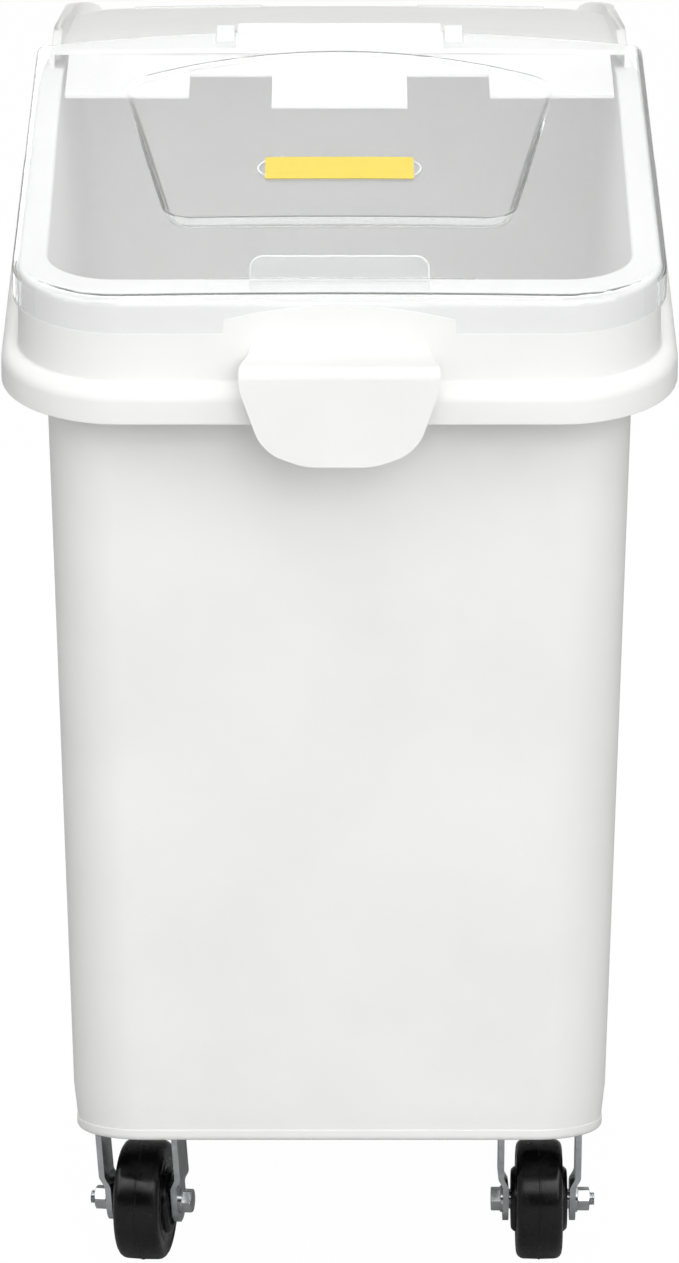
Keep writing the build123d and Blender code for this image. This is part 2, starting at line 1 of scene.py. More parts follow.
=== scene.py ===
"""Looks of a rolling ingredient bin: a white moulded tub on casters with a clear flip lid.

Sizes are in millimetres in the frame of the solids, with +Z up and the front towards -Y.
Each finished mesh is brought to metres once, when it becomes an object.
"""

import json
import logging
import math
from dataclasses import dataclass
from enum import Enum
from typing import Iterable, Sequence

import bmesh
import bpy
from bmesh.types import BMEdge, BMesh, BMFace, BMVert
from mathutils import Matrix, Vector


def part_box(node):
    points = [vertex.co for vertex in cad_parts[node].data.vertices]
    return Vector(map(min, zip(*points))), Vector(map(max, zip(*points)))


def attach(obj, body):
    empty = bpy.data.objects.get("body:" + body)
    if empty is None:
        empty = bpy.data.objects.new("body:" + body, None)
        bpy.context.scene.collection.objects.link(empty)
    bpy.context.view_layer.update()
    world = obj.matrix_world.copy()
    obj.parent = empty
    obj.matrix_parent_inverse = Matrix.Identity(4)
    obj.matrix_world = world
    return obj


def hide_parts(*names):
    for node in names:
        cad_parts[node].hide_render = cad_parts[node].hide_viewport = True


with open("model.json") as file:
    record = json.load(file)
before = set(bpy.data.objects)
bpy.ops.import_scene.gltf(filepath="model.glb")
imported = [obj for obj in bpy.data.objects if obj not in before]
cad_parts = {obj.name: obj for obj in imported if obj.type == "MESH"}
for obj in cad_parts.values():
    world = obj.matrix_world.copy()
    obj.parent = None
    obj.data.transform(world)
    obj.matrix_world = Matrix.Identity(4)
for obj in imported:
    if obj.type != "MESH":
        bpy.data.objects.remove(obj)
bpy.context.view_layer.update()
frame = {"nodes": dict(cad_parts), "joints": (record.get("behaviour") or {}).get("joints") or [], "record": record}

LOG = logging.getLogger("ingredient_bin")
MM = 0.001

# Directions across the bin, along it and up
ACROSS = Vector((1, 0, 0))
ALONG = Vector((0, 1, 0))
UP = Vector((0, 0, 1))

# Steps of a quarter turn on large and small rounds, and cuts across a bend
CORNER_STEPS = 12
ROUND_STEPS = 4
BEND_CUTS = 9

# Faces round a full turn
PIN_FACES = 32
KNUCKLE_FACES = 40
WASHER_FACES = 48
RACE_FACES = 64
HUB_FACES = 80
TYRE_FACES = 96

# Angles between faces, in degrees, up to which they count as one flat, past which an edge is drawn sharp
# and past which it gets a round
FLAT_ANGLE = 1.0
SHARP_ANGLE = 38.0
ROUND_ANGLE = 60.0

# Lengths under which points count as on a cutting plane, edges are dropped and points count as one
CUT_SLACK = 1e-4
LEAST_EDGE = 1e-3
MERGE_SLACK = 0.01

# Octaves of a cloudy pattern, and the range that most of its values lie in
CLOUD_DETAIL = 3.0
CLOUD_LOW = 0.3
CLOUD_HIGH = 0.7

# Colour sockets of a mix node
MIX_FIRST = 6
MIX_SECOND = 7
MIX_RESULT = 2

# Face layer that tells how far a clear sheet's skin carries a painted highlight that turns it white and matt, from
# 0 to 1
RIM_HIGHLIGHT_LAYER = "painted_rim_highlight"


class Body(Enum):
    """Moving bodies of the bin that pieces ride on."""

    BIN = "bin"
    LID = "front_lid"


class Slot(Enum):
    """Material slots of the record."""

    TUB = "white_polyethylene"
    REAR_LID = "white_polypropylene"
    CLEAR = "clear_plastic"
    LABEL = "label"
    STEEL = "steel"
    ZINC = "zinc_steel"
    HUB = "black_plastic"
    TYRE = "black_rubber"


# Colours and nodes


def hex_linear(code: str) -> tuple[float, float, float, float]:
    """Turns an sRGB hex value into linear light.

    Args:
        code: Colour such as "#F4F4F2".

    Returns:
        Red, green, blue and an alpha of one.
    """
    parts = [int(code[i : i + 2], 16) / 255 for i in (1, 3, 5)]
    red, green, blue = (p / 12.92 if p <= 0.04045 else ((p + 0.055) / 1.055) ** 2.4 for p in parts)
    return red, green, blue, 1.0


def add_node(tree: bpy.types.NodeTree, kind: str, inputs: dict | None = None, **settings) -> bpy.types.Node:
    """Adds a node with its settings, and links or sets its inputs.

    Args:
        tree: Node tree that gets the node.
        kind: Type name of the node.
        inputs: Socket names or numbers, each with an output to link or a value to set.
        settings: Attributes of the node.

    Returns:
        The new node.
    """
    node = tree.nodes.new(kind)
    for name, value in settings.items():
        setattr(node, name, value)
    for key, value in (inputs or {}).items():
        socket = node.inputs[key]
        if isinstance(value, bpy.types.NodeSocket):
            tree.links.new(value, socket)
        else:
            socket.default_value = value
    return node


@dataclass(frozen=True)
class Finish:
    """A surface finish. Each kind of finish draws its own pattern in its pattern method.

    Attributes:
        name: What the material is and how its surface was made.
        colour: Main colour as an sRGB hex value.
        roughness: Mean roughness of the surface.
        grain: Size of the fine surface pattern in millimetres.
        relief: Height of the fine surface pattern in millimetres.
    """

    name: str
    colour: str
    roughness: float
    grain: float
    relief: float

    def pattern(self, tree: bpy.types.NodeTree, place: bpy.types.NodeSocket) -> dict:
        """Draws the finish's pattern.

        Args:
            tree: Node tree of the material.
            place: Object coordinates.

        Returns:
            Inputs for the surface shader.
        """
        raise NotImplementedError

    def noise(
        self, tree: bpy.types.NodeTree, place: bpy.types.NodeSocket, size: float
    ) -> bpy.types.NodeSocket:
        """A cloudy pattern of values from 0 to 1 whose clouds have a size in millimetres."""
        inputs = {"Vector": place, "Scale": 1 / (size * MM), "Detail": CLOUD_DETAIL}
        return add_node(tree, "ShaderNodeTexNoise", inputs).outputs["Fac"]

    def spread(
        self, tree: bpy.types.NodeTree, value: bpy.types.NodeSocket, low: float, high: float
    ) -> bpy.types.NodeSocket:
        """The middle of a cloudy pattern spread over a range.

        Args:
            tree: Node tree of the material.
            value: Cloudy pattern.
            low: Result at the low end of its usual values.
            high: Result at their high end.

        Returns:
            The spread values.
        """
        inputs = {
            "Value": value, "From Min": CLOUD_LOW, "From Max": CLOUD_HIGH, "To Min": low, "To Max": high
        }
        return add_node(tree, "ShaderNodeMapRange", inputs).outputs["Result"]

    def tinted(
        self, tree: bpy.types.NodeTree, share: bpy.types.NodeSocket, first: str, second: str
    ) -> bpy.types.NodeSocket:
        """Colours between two hex values by a share.

        Args:
            tree: Node tree of the material.
            share: Share of the second colour.
            first: Hex value at zero.
            second: Hex value at one.

        Returns:
            The mixed colours.
        """
        parts = {"Factor": share, MIX_FIRST: hex_linear(first), MIX_SECOND: hex_linear(second)}
        return add_node(tree, "ShaderNodeMix", parts, data_type="RGBA").outputs[MIX_RESULT]

    def bump(self, tree: bpy.types.NodeTree, height: bpy.types.NodeSocket) -> bpy.types.NodeSocket:
        """Normals of the relief pattern."""
        inputs = {"Height": height, "Strength": 1.0, "Distance": self.relief * MM}
        return add_node(tree, "ShaderNodeBump", inputs).outputs["Normal"]

    def surface(self, tree: bpy.types.NodeTree, shader: bpy.types.Node) -> bpy.types.NodeSocket:
        """What the material shows, which is the surface shader alone.

        Args:
            tree: Node tree of the material.
            shader: Surface shader with the finish's pattern.

        Returns:
            Shader for the material's output.
        """
        return shader.outputs["BSDF"]

    def material(self) -> bpy.types.Material:
        """The finish as a material, made once.

        Returns:
            The material.
        """
        made = bpy.data.materials.get(self.name)
        if made is not None:
            return made
        made = bpy.data.materials.new(self.name)
        made.use_nodes = True
        tree = made.node_tree
        tree.nodes.clear()
        place = add_node(tree, "ShaderNodeTexCoord").outputs["Object"]
        inputs = {"Base Color": hex_linear(self.colour), "Roughness": self.roughness}
        inputs.update(self.pattern(tree, place))
        shader = add_node(tree, "ShaderNodeBsdfPrincipled", inputs)
        add_node(tree, "ShaderNodeOutputMaterial", {"Surface": self.surface(tree, shader)})
        return made


@dataclass(frozen=True)
class MouldedPlastic(Finish):
    """Opaque moulded plastic: an even tone with a satin skin that ripples faintly like orange peel."""

    shade: str = "#F4F4F3"
    cloud: float = 90.0
    ior: float = 1.51
    gloss_range: float = 0.05

    def pattern(self, tree: bpy.types.NodeTree, place: bpy.types.NodeSocket) -> dict:
        """Broad faint clouds of tone and gloss over a fine ripple.

        Args:
            tree: Node tree of the material.
            place: Object coordinates.

        Returns:
            Inputs for the surface shader.
        """
        clouds = self.noise(tree, place, self.cloud)
        ripple = self.noise(tree, place, self.grain)
        tone = self.spread(tree, clouds, 0.0, 1.0)
        return {
            "Base Color": self.tinted(tree, tone, self.shade, self.colour),
            "Roughness": self.spread(
                tree, ripple, self.roughness - self.gloss_range, self.roughness + self.gloss_range
            ),
            "IOR": self.ior,
            "Normal": self.bump(tree, ripple),
        }


@dataclass(frozen=True)
class ClearPlastic(Finish):
    """Clear moulded sheet: see-through with a polished skin that hazes a little in flow clouds, and rims painted
    white and matt as a highlight.
    """

    cloud: float = 60.0
    ior: float = 1.5
    passing: str = "#FBFBFB"
    haze: float = 0.05
    # Share of the painted highlight: how far marked faces lose their clearness and show white
    rim_highlight: float = 0.8
    rim_highlight_roughness: float = 0.3

    def surface(self, tree: bpy.types.NodeTree, shader: bpy.types.Node) -> bpy.types.NodeSocket:
        """Clear sheet to the eye, while the light of matt surfaces and lamps passes straight through it.

        Args:
            tree: Node tree of the material.
            shader: Surface shader with the finish's pattern.

        Returns:
            Shader for the material's output.
        """
        rays = add_node(tree, "ShaderNodeLightPath").outputs
        straight = add_node(tree, "ShaderNodeBsdfTransparent", {"Color": hex_linear(self.passing)})
        shown = shader.outputs["BSDF"]
        for kind in ("Is Diffuse Ray", "Is Shadow Ray"):
            parts = {0: rays[kind], 1: shown, 2: straight.outputs[0]}
            shown = add_node(tree, "ShaderNodeMixShader", parts).outputs[0]
        return shown

    def pattern(self, tree: bpy.types.NodeTree, place: bpy.types.NodeSocket) -> dict:
        """Flow clouds in the gloss, a very shallow ripple and a painted highlight that turns rims and lugs white
        and matt.

        Args:
            tree: Node tree of the material.
            place: Object coordinates.

        Returns:
            Inputs for the surface shader.
        """
        clouds = self.noise(tree, place, self.cloud)
        ripple = self.noise(tree, place, self.grain)
        gloss = self.spread(tree, clouds, self.roughness / 2, self.roughness * 2)
        # Painted highlight: marked rims turn white and matt, standing in for light caught on rounded edges
        rim_highlight = add_node(tree, "ShaderNodeAttribute", attribute_name=RIM_HIGHLIGHT_LAYER).outputs["Fac"]
        dull = {0: rim_highlight, 1: self.rim_highlight_roughness, 2: gloss}
        clear = {"Value": rim_highlight, "To Min": 1 - self.haze, "To Max": 1 - self.rim_highlight}
        return {
            "Roughness": add_node(tree, "ShaderNodeMath", dull, operation="MULTIPLY_ADD").outputs[0],
            "IOR": self.ior,
            "Transmission Weight": add_node(tree, "ShaderNodeMapRange", clear).outputs["Result"],
            "Normal": self.bump(tree, ripple),
        }


@dataclass(frozen=True)
class PlatedSteel(Finish):
    """Zinc-plated or polished steel: a bright cool grey whose gloss changes in small clouds."""

    shade: str = "#A9ACAE"
    cloud: float = 9.0
    glossiest: float = 0.7
    dullest: float = 1.4

    def pattern(self, tree: bpy.types.NodeTree, place: bpy.types.NodeSocket) -> dict:
        """Clouds of tone and gloss over fine pickling marks.

        Args:
            tree: Node tree of the material.
            place: Object coordinates.

        Returns:
            Inputs for the surface shader.
        """
        clouds = self.noise(tree, place, self.cloud)
        marks = self.noise(tree, place, self.grain)
        tone = self.spread(tree, clouds, 0.0, 1.0)
        return {
            "Base Color": self.tinted(tree, tone, self.shade, self.colour),
            "Roughness": self.spread(
                tree, marks, self.roughness * self.glossiest, self.roughness * self.dullest
            ),
            "Metallic": 1.0,
            "Normal": self.bump(tree, marks),
        }


@dataclass(frozen=True)
class WornBlack(Finish):
    """Black rubber or hard plastic: glossy black with dull scuffed clouds and pale dust specks."""

    dust: str = "#2C2A29"
    cloud: float = 14.0
    ior: float = 1.48
    glossiest: float = 0.5
    dullest: float = 1.6
    speck_from: float = 0.62
    speck_to: float = 0.75
    speck_share: float = 0.6

    def pattern(self, tree: bpy.types.NodeTree, place: bpy.types.NodeSocket) -> dict:
        """Scuffed clouds, dust in the grain and a pitted skin.

        Args:
            tree: Node tree of the material.
            place: Object coordinates.

        Returns:
            Inputs for the surface shader.
        """
        clouds = self.noise(tree, place, self.cloud)
        pits = self.noise(tree, place, self.grain)
        dusty = {
            "Value": pits, "From Min": self.speck_from, "From Max": self.speck_to, "To Max": self.speck_share
        }
        specks = add_node(tree, "ShaderNodeMapRange", dusty).outputs["Result"]
        return {
            "Base Color": self.tinted(tree, specks, self.colour, self.dust),
            "Roughness": self.spread(
                tree, clouds, self.roughness * self.glossiest, self.roughness * self.dullest
            ),
            "IOR": self.ior,
            "Normal": self.bump(tree, pits),
        }


@dataclass(frozen=True)
class PrintedFilm(Finish):
    """Printed sticker: an even ink under a satin film, with a faint print grain."""

    shade: str = "#E4CA34"
    gloss_range: float = 0.06

    def pattern(self, tree: bpy.types.NodeTree, place: bpy.types.NodeSocket) -> dict:
        """A faint print grain in tone and skin.

        Args:
            tree: Node tree of the material.
            place: Object coordinates.

        Returns:
            Inputs for the surface shader.
        """
        grain = self.noise(tree, place, self.grain)
        tone = self.spread(tree, grain, 0.0, 1.0)
        return {
            "Base Color": self.tinted(tree, tone, self.shade, self.colour),
            "Roughness": self.spread(
                tree, grain, self.roughness - self.gloss_range, self.roughness + self.gloss_range
            ),
            "Normal": self.bump(tree, grain),
        }


# Polyethylene moulded in a blasted tool: bright white, satin, with a skin that ripples faintly
WHITE_POLYETHYLENE = MouldedPlastic("polyethylene_moulded_white", "#FAFAF9", 0.42, 2.2, 0.012)
# Polypropylene: the same white with a slightly harder, glossier skin
WHITE_POLYPROPYLENE = MouldedPlastic("polypropylene_moulded_white", "#FAFAF9", 0.36, 2.0, 0.01)
# Polycarbonate moulded in a polished tool: clear as glass with bright and dark edges, and a painted highlight of
# white matt on its rims
CLEAR_POLYCARBONATE = ClearPlastic("polycarbonate_moulded_clear", "#FAFBFB", 0.02, 35.0, 0.004)
# Zinc plating on pressed steel: bright, slightly cloudy grey
ZINC_STEEL = PlatedSteel("zinc_plated_steel", "#DCDEDF", 0.17, 1.2, 0.003, shade="#BDC0C2")
# Turned and ground steel: darker than the plating, with finer marks
GROUND_STEEL = PlatedSteel("ground_steel", "#BFC1C3", 0.18, 0.8, 0.002, shade="#8F9294")
# Hard black plastic wheel centre: even satin black
BLACK_PLASTIC = WornBlack("phenolic_moulded_black", "#0A0A0A", 0.32, 1.5, 0.008, dust="#1C1B1B")
# Vulcanised black rubber: glossy from the mould, with scuffs and dust on the tread
BLACK_RUBBER = WornBlack("rubber_moulded_black", "#070707", 0.24, 1.8, 0.012)
# Vinyl sticker: plain yellow ink under a satin film
YELLOW_FILM = PrintedFilm("vinyl_film_yellow", "#EBD23E", 0.38, 0.6, 0.003)

FINISHES: dict[Slot, Finish] = {
    Slot.TUB: WHITE_POLYETHYLENE,
    Slot.REAR_LID: WHITE_POLYPROPYLENE,
    Slot.CLEAR: CLEAR_POLYCARBONATE,
    Slot.LABEL: YELLOW_FILM,
    Slot.STEEL: GROUND_STEEL,
    Slot.ZINC: ZINC_STEEL,
    Slot.HUB: BLACK_PLASTIC,
    Slot.TYRE: BLACK_RUBBER,
}


# Mesh work


def new_parts(made: dict, kind: type) -> list:
    """Elements of one kind among what an operator made."""
    return [part for part in made["geom"] if isinstance(part, kind)]


def everything(bm: BMesh) -> list:
    """All vertices, edges and faces of a mesh."""
    return [*bm.verts, *bm.edges, *bm.faces]


def round_edges(bm: BMesh, edges: Iterable[BMEdge], size: float, steps: int = ROUND_STEPS) -> list[BMVert]:
    """Rounds edges.

    Args:
        bm: Mesh that holds the edges.
        edges: Edges to round.
        size: Width of the round on each side of an edge.
        steps: Number of faces across the round.

    Returns:
        Vertices of the rounds.
    """
    made = bmesh.ops.bevel(
        bm, geom=list(edges), offset=size, offset_type="OFFSET", affect="EDGES", segments=steps,
        profile=0.5, material=-1, clamp_overlap=True,
    )
    return made["verts"]


def round_corners(bm: BMesh, verts: Iterable[BMVert], size: float, steps: int = CORNER_STEPS) -> None:
    """Rounds the corners of a flat face.

    Args:
        bm: Mesh that holds the face.
        verts: Corners to round.
        size: Distance from a corner at which its round starts.
        steps: Number of edges along the round.
    """
    bmesh.ops.bevel(
        bm, geom=list(verts), offset=size, offset_type="OFFSET", affect="VERTICES", segments=steps,
        profile=0.5, material=-1,
    )


def cut_across(bm: BMesh, axis: Vector, places: Iterable[float]) -> None:
    """Cuts all faces along planes square to an axis."""
    for place in places:
        bmesh.ops.bisect_plane(
            bm, geom=everything(bm), plane_co=axis * place, plane_no=axis, dist=CUT_SLACK
        )


def cut_off(bm: BMesh, place: Vector, outward: Vector) -> None:
    """Removes what lies beyond a plane."""
    bmesh.ops.bisect_plane(
        bm, geom=everything(bm), plane_co=place, plane_no=outward, clear_outer=True, dist=CUT_SLACK
    )


def evenly(start: float, end: float, count: int) -> list[float]:
    """Places from start to end, both included, in equal steps."""
    return [start + (end - start) * i / (count - 1) for i in range(count)]


def cut_crosswise(bm: BMesh, half: float, count: int) -> None:
    """Cuts all faces at equal steps across the bin, half of them on each side."""
    cut_across(bm, ACROSS, evenly(-half, half, count))


def face_outwards(bm: BMesh) -> None:
    """Points all faces of a closed mesh outwards."""
    bmesh.ops.recalc_face_normals(bm, faces=bm.faces[:])


def fill_holes(bm: BMesh) -> None:
    """Closes each open border with a face."""
    bmesh.ops.holes_fill(bm, edges=[e for e in bm.edges if e.is_boundary])


def move(bm: BMesh, matrix: Matrix) -> None:
    """Moves a whole mesh."""
    bmesh.ops.transform(bm, matrix=matrix, verts=bm.verts[:])


def mirrored_face(bm: BMesh, half: Iterable[tuple[float, float]]) -> list[tuple[BMVert, BMVert]]:
    """Adds a flat face whose left half mirrors its right half.

    Args:
        bm: Empty mesh.
        half: Corners of the right half, from one end to the other.

    Returns:
        Each corner on the right with its mirrored corner.
    """
    places = list(half)
    right = [bm.verts.new((x, y, 0)) for x, y in places]
    left = [bm.verts.new((-x, y, 0)) for x, y in places]
    bm.faces.new([*right, *reversed(left)])
    return list(zip(right, left))


def draw_out(bm: BMesh, faces: Sequence[BMFace], shift: Vector) -> list[BMFace]:
    """Draws faces out into a solid.

    Args:
        bm: Mesh that holds the faces.
        faces: Faces of one flat region.
        shift: Distance and direction of the draw.

    Returns:
        The moved faces at the far end.
    """
    made = bmesh.ops.extrude_face_region(bm, geom=list(faces), use_keep_orig=True)
    bmesh.ops.translate(bm, verts=new_parts(made, BMVert), vec=shift)
    face_outwards(bm)
    return new_parts(made, BMFace)


def sharp_edges(bm: BMesh, degrees: float = ROUND_ANGLE) -> list[BMEdge]:
    """Edges whose two faces turn by more than an angle."""
    limit = math.radians(degrees)
    return [e for e in bm.edges if len(e.link_faces) == 2 and e.calc_face_angle(0.0) > limit]


def paint_rim_highlight(bm: BMesh, verts: Iterable[BMVert], largest: float) -> None:
    """Paints a highlight on the faces that lie between vertices, which turns them white and matt.

    Args:
        bm: Mesh of a clear moulding with a painted highlight layer.
        verts: Vertices of rounded rims.
        largest: Area over which a face stays clear.
    """
    layer = bm.faces.layers.float.get(RIM_HIGHLIGHT_LAYER)
    bm.verts.index_update()
    rim = {v.index for v in verts}
    for face in bm.faces:
        if face.calc_area() < largest and rim.issuperset(v.index for v in face.verts):
            face[layer] = 1.0


def gather(parts: Iterable[BMesh]) -> BMesh:
    """Joins closed meshes of one moulding into one mesh.

    Args:
        parts: Meshes, which are freed.

    Returns:
        The joined mesh.
    """
    whole = bmesh.new()
    for part in parts:
        carrier = bpy.data.meshes.new("part")
        part.to_mesh(carrier)
        part.free()
        whole.from_mesh(carrier)
        bpy.data.meshes.remove(carrier)
    return whole


@dataclass(frozen=True)
class Piece:
    """Name, body, material slot and stood-for solids of a finished mesh.

    Attributes:
        name: Name of the piece.
        body: Body that it rides on.
        slot: Material slot that it takes its finish from.
        nodes: Solids that it stands for.
    """

    name: str
    body: str
    slot: Slot
    nodes: tuple[str, ...] = ()

    def finish(self, bm: BMesh) -> bpy.types.Object:
        """Turns a mesh in millimetres into a dressed object in metres.

        Args:
            bm: Closed mesh, which is freed.

        Returns:
            The object, riding on its body.
        """
        bmesh.ops.dissolve_degenerate(bm, dist=LEAST_EDGE, edges=bm.edges[:])
        bmesh.ops.scale(bm, vec=Vector((MM, MM, MM)), verts=bm.verts[:])
        mesh = bpy.data.meshes.new(self.name)
        bm.to_mesh(mesh)
        bm.free()
        mesh.shade_smooth()
        mesh.set_sharp_from_angle(angle=math.radians(SHARP_ANGLE))
        mesh.materials.append(FINISHES[self.slot].material())
        piece = bpy.data.objects.new(self.name, mesh)
        bpy.context.scene.collection.objects.link(piece)
        normals = piece.modifiers.new("even_normals", "WEIGHTED_NORMAL")
        normals.keep_sharp = True
        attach(piece, self.body)
        if self.nodes:
            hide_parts(*self.nodes)
        LOG.info("%s: %d faces on %s", self.name, len(mesh.polygons), self.body)
        return piece


@dataclass(frozen=True)
class Outline:
    """Rounded rectangle in plan.

    Attributes:
        half_width: Half of its size along X.
        half_length: Half of its size along Y.
        corner: Radius of its corners.
        middle: Y of its centre.
    """

    half_width: float
    half_length: float
    corner: float
    middle: float

    def inset(self, by: float) -> "Outline":
        """The same outline made smaller all round."""
        return Outline(self.half_width - by, self.half_length - by, self.corner - by, self.middle)

    def corner_centre(self, x: float, y: float) -> Vector:
        """Centre of the corner round nearest to a point."""
        across = math.copysign(self.half_width - self.corner, x)
        along = math.copysign(self.half_length - self.corner, y - self.middle)
        return Vector((across, self.middle + along))

    def carry(self, other: "Outline", place: Vector) -> Vector:
        """Where a point on this outline's corners lies on another outline.

        Args:
            other: Outline to carry the point to.
            place: Point on a corner of this outline.

        Returns:
            The plan position on the other outline.
        """
        turn = (place.xy - self.corner_centre(place.x, place.y)) / self.corner
        return other.corner_centre(place.x, place.y) + turn * other.corner

    def face(self, bm: BMesh, height: float) -> BMFace:
        """Adds the outline as a flat face.

        Args:
            bm: Empty mesh.
            height: Height of the face.

        Returns:
            The face.
        """
        signs = ((-1, -1), (1, -1), (1, 1), (-1, 1))
        corners = [
            bm.verts.new((sx * self.half_width, self.middle + sy * self.half_length, height))
            for sx, sy in signs
        ]
        bm.faces.new(corners)
        round_corners(bm, corners, self.corner)
        bm.faces.ensure_lookup_table()
        return bm.faces[0]


class RingStack:
    """A moulding drawn out ring by ring from one flat face.

    Attributes:
        bm: Mesh of the moulding.
        outline: Outline of the last ring.
        ring: Edges of the last ring.
    """

    def __init__(self, outline: Outline, height: float) -> None:
        """Starts from a flat face of an outline at a height."""
        self.bm: BMesh = bmesh.new()
        self.outline = outline
        self.ring: list[BMEdge] = list(outline.face(self.bm, height).edges)

    def step(self, outline: Outline, height: float) -> list[BMEdge]:
        """Draws the last ring out to another outline and height.

        Args:
            outline: Outline of the new ring.
            height: Height of the new ring.

        Returns:
            Edges of the new ring.
        """
        made = bmesh.ops.extrude_edge_only(self.bm, edges=self.ring)
        verts = new_parts(made, BMVert)
        for vert in verts:
            vert.co = (*self.outline.carry(outline, vert.co), height)
        fresh = set(verts)
        self.ring = [e for e in new_parts(made, BMEdge) if fresh.issuperset(e.verts)]
        self.outline = outline
        return self.ring

    def roll(self, outline: Outline, radius: float, steps: int) -> None:
        """Draws the last ring out round an edge, from a level face at height zero to an upright wall.

        Args:
            outline: Outline of the wall.
            radius: Radius of the round.
            steps: Number of rings on the round.
        """
        for number in range(1, steps + 1):
            turn = math.radians(90 * number / steps)
            inset = radius * (1 - math.sin(turn))
            self.step(outline.inset(inset), -radius * (1 - math.cos(turn)))

    def close(self) -> BMFace:
        """Fills the last ring with a face."""
        made = bmesh.ops.contextual_create(self.bm, geom=self.ring)
        return made["faces"][0]


@dataclass(frozen=True)
class BentPath:
    """Line in an upright plane, with straight runs and round bends, that a flat sheet is laid along.

    Attributes:
        corners: Start, bends and end of the line.
        radii: Radius of each bend.
    """

    corners: tuple[Vector, ...]
    radii: tuple[float, ...]

    def legs(self) -> list[tuple[float, float, float]]:
        """Straight run, bend radius and turn of each leg, where a turn to the left is positive."""
        lines = [end - start for start, end in zip(self.corners, self.corners[1:])]
        turns = [-first.angle_signed(second) for first, second in zip(lines, lines[1:])]
        spent = [radius * math.tan(abs(turn) / 2) for radius, turn in zip(self.radii, turns)]
        runs = [line.length - a - b for line, a, b in zip(lines, [0.0, *spent], [*spent, 0.0])]
        return list(zip(runs, [*self.radii, 0.0], [*turns, 0.0]))

    def length(self) -> float:
        """Length of the whole line."""
        return sum(run + radius * abs(turn) for run, radius, turn in self.legs())

    def bends(self) -> list[tuple[float, float]]:
        """Distances along the line at which each bend starts and ends."""
        spans: list[tuple[float, float]] = []
        start = 0.0
        for run, radius, turn in self.legs()[:-1]:
            end = start + run + radius * abs(turn)
            spans.append((start + run, end))
            start = end
        return spans

    def at(self, along: float) -> tuple[Vector, Vector]:
        """Place on the line and the direction out of its right side.

        Args:
            along: Distance from the line's start.

        Returns:
            The place and the outward direction.
        """
        spot = self.corners[0]
        heading = (self.corners[1] - spot).normalized()
        for run, radius, turn in self.legs():
            out = Vector((heading.y, -heading.x))
            if along <= run or not radius:
                return spot + heading * along, out
            along -= run
            arc = radius * abs(turn)
            arm = out * math.copysign(radius, turn)
            centre = spot + heading * run - arm
            spin = Matrix.Rotation(turn * min(along / arc, 1.0), 2)
            if along <= arc:
                return centre + spin @ arm, spin @ out
            spot, heading, along = centre + spin @ arm, spin @ heading, along - arc
        return spot, Vector((heading.y, -heading.x))


# The bin's common lines


@dataclass(frozen=True)
class Rim:
    """Line of the tub's mouth: a front slope that bends into a level rear.

    Attributes:
        half_width: Half width of the flange.
        front: Y of the flange's front.
        rear: Y of the flange's rear.
        level: Height of the ledge behind the bend.
        corner: Radius of the flange's corners.
        overhang: How far the flange stands out from the collar.
        slope_angle: Angle of the front slope in degrees.
        bend_back: Distance of the bend from the flange's front.
        bend_radius: Radius of the bend.
    """

    half_width: float
    front: float
    rear: float
    level: float
    corner: float = 70.0
    overhang: float = 10.0
    slope_angle: float = 15.6
    bend_back: float = 370.0
    bend_radius: float = 140.0

    @property
    def middle(self) -> float:
        """Y of the rim's middle."""
        return (self.front + self.rear) / 2

    @property
    def collar_front(self) -> float:
        """Y of the collar's front."""
        return self.front + self.overhang

    @property
    def bend(self) -> tuple[float, float]:
        """Y at which the bend starts and ends."""
        turn = math.radians(self.slope_angle)
        reach = self.bend_radius * math.tan(turn / 2)
        middle = self.front + self.bend_back
        return middle - reach * math.cos(turn), middle + reach

    def flange(self) -> Outline:
        """Outline of the flange."""
        return Outline(self.half_width, (self.rear - self.front) / 2, self.corner, self.middle)

    def collar(self) -> Outline:
        """Outline of the collar inside the flange."""
        return self.flange().inset(self.overhang)

    def slope(self, y: float) -> float:
        """Height of the front slope, carried on straight past the bend."""
        rise = math.tan(math.radians(self.slope_angle))
        return self.level + (y - self.front - self.bend_back) * rise

    def height(self, y: float) -> float:
        """Height of the ledge at a depth.

        Args:
            y: Depth.

        Returns:
            The height on the slope, the bend or the level rear.
        """
        start, end = self.bend
        if y <= start:
            return self.slope(y)
        if y >= end:
            return self.level
        radius = self.bend_radius
        return self.level - radius + math.sqrt(radius**2 - (end - y) ** 2)


def read_rim(tongue_reach: float) -> Rim:
    """The rim's line from the tub's box.

    Args:
        tongue_reach: How far the tongue stands in front of the flange.

    Returns:
        The rim.
    """
    low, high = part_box("tub")
    return Rim(high.x / MM, low.y / MM + tongue_reach, high.y / MM, high.z / MM)


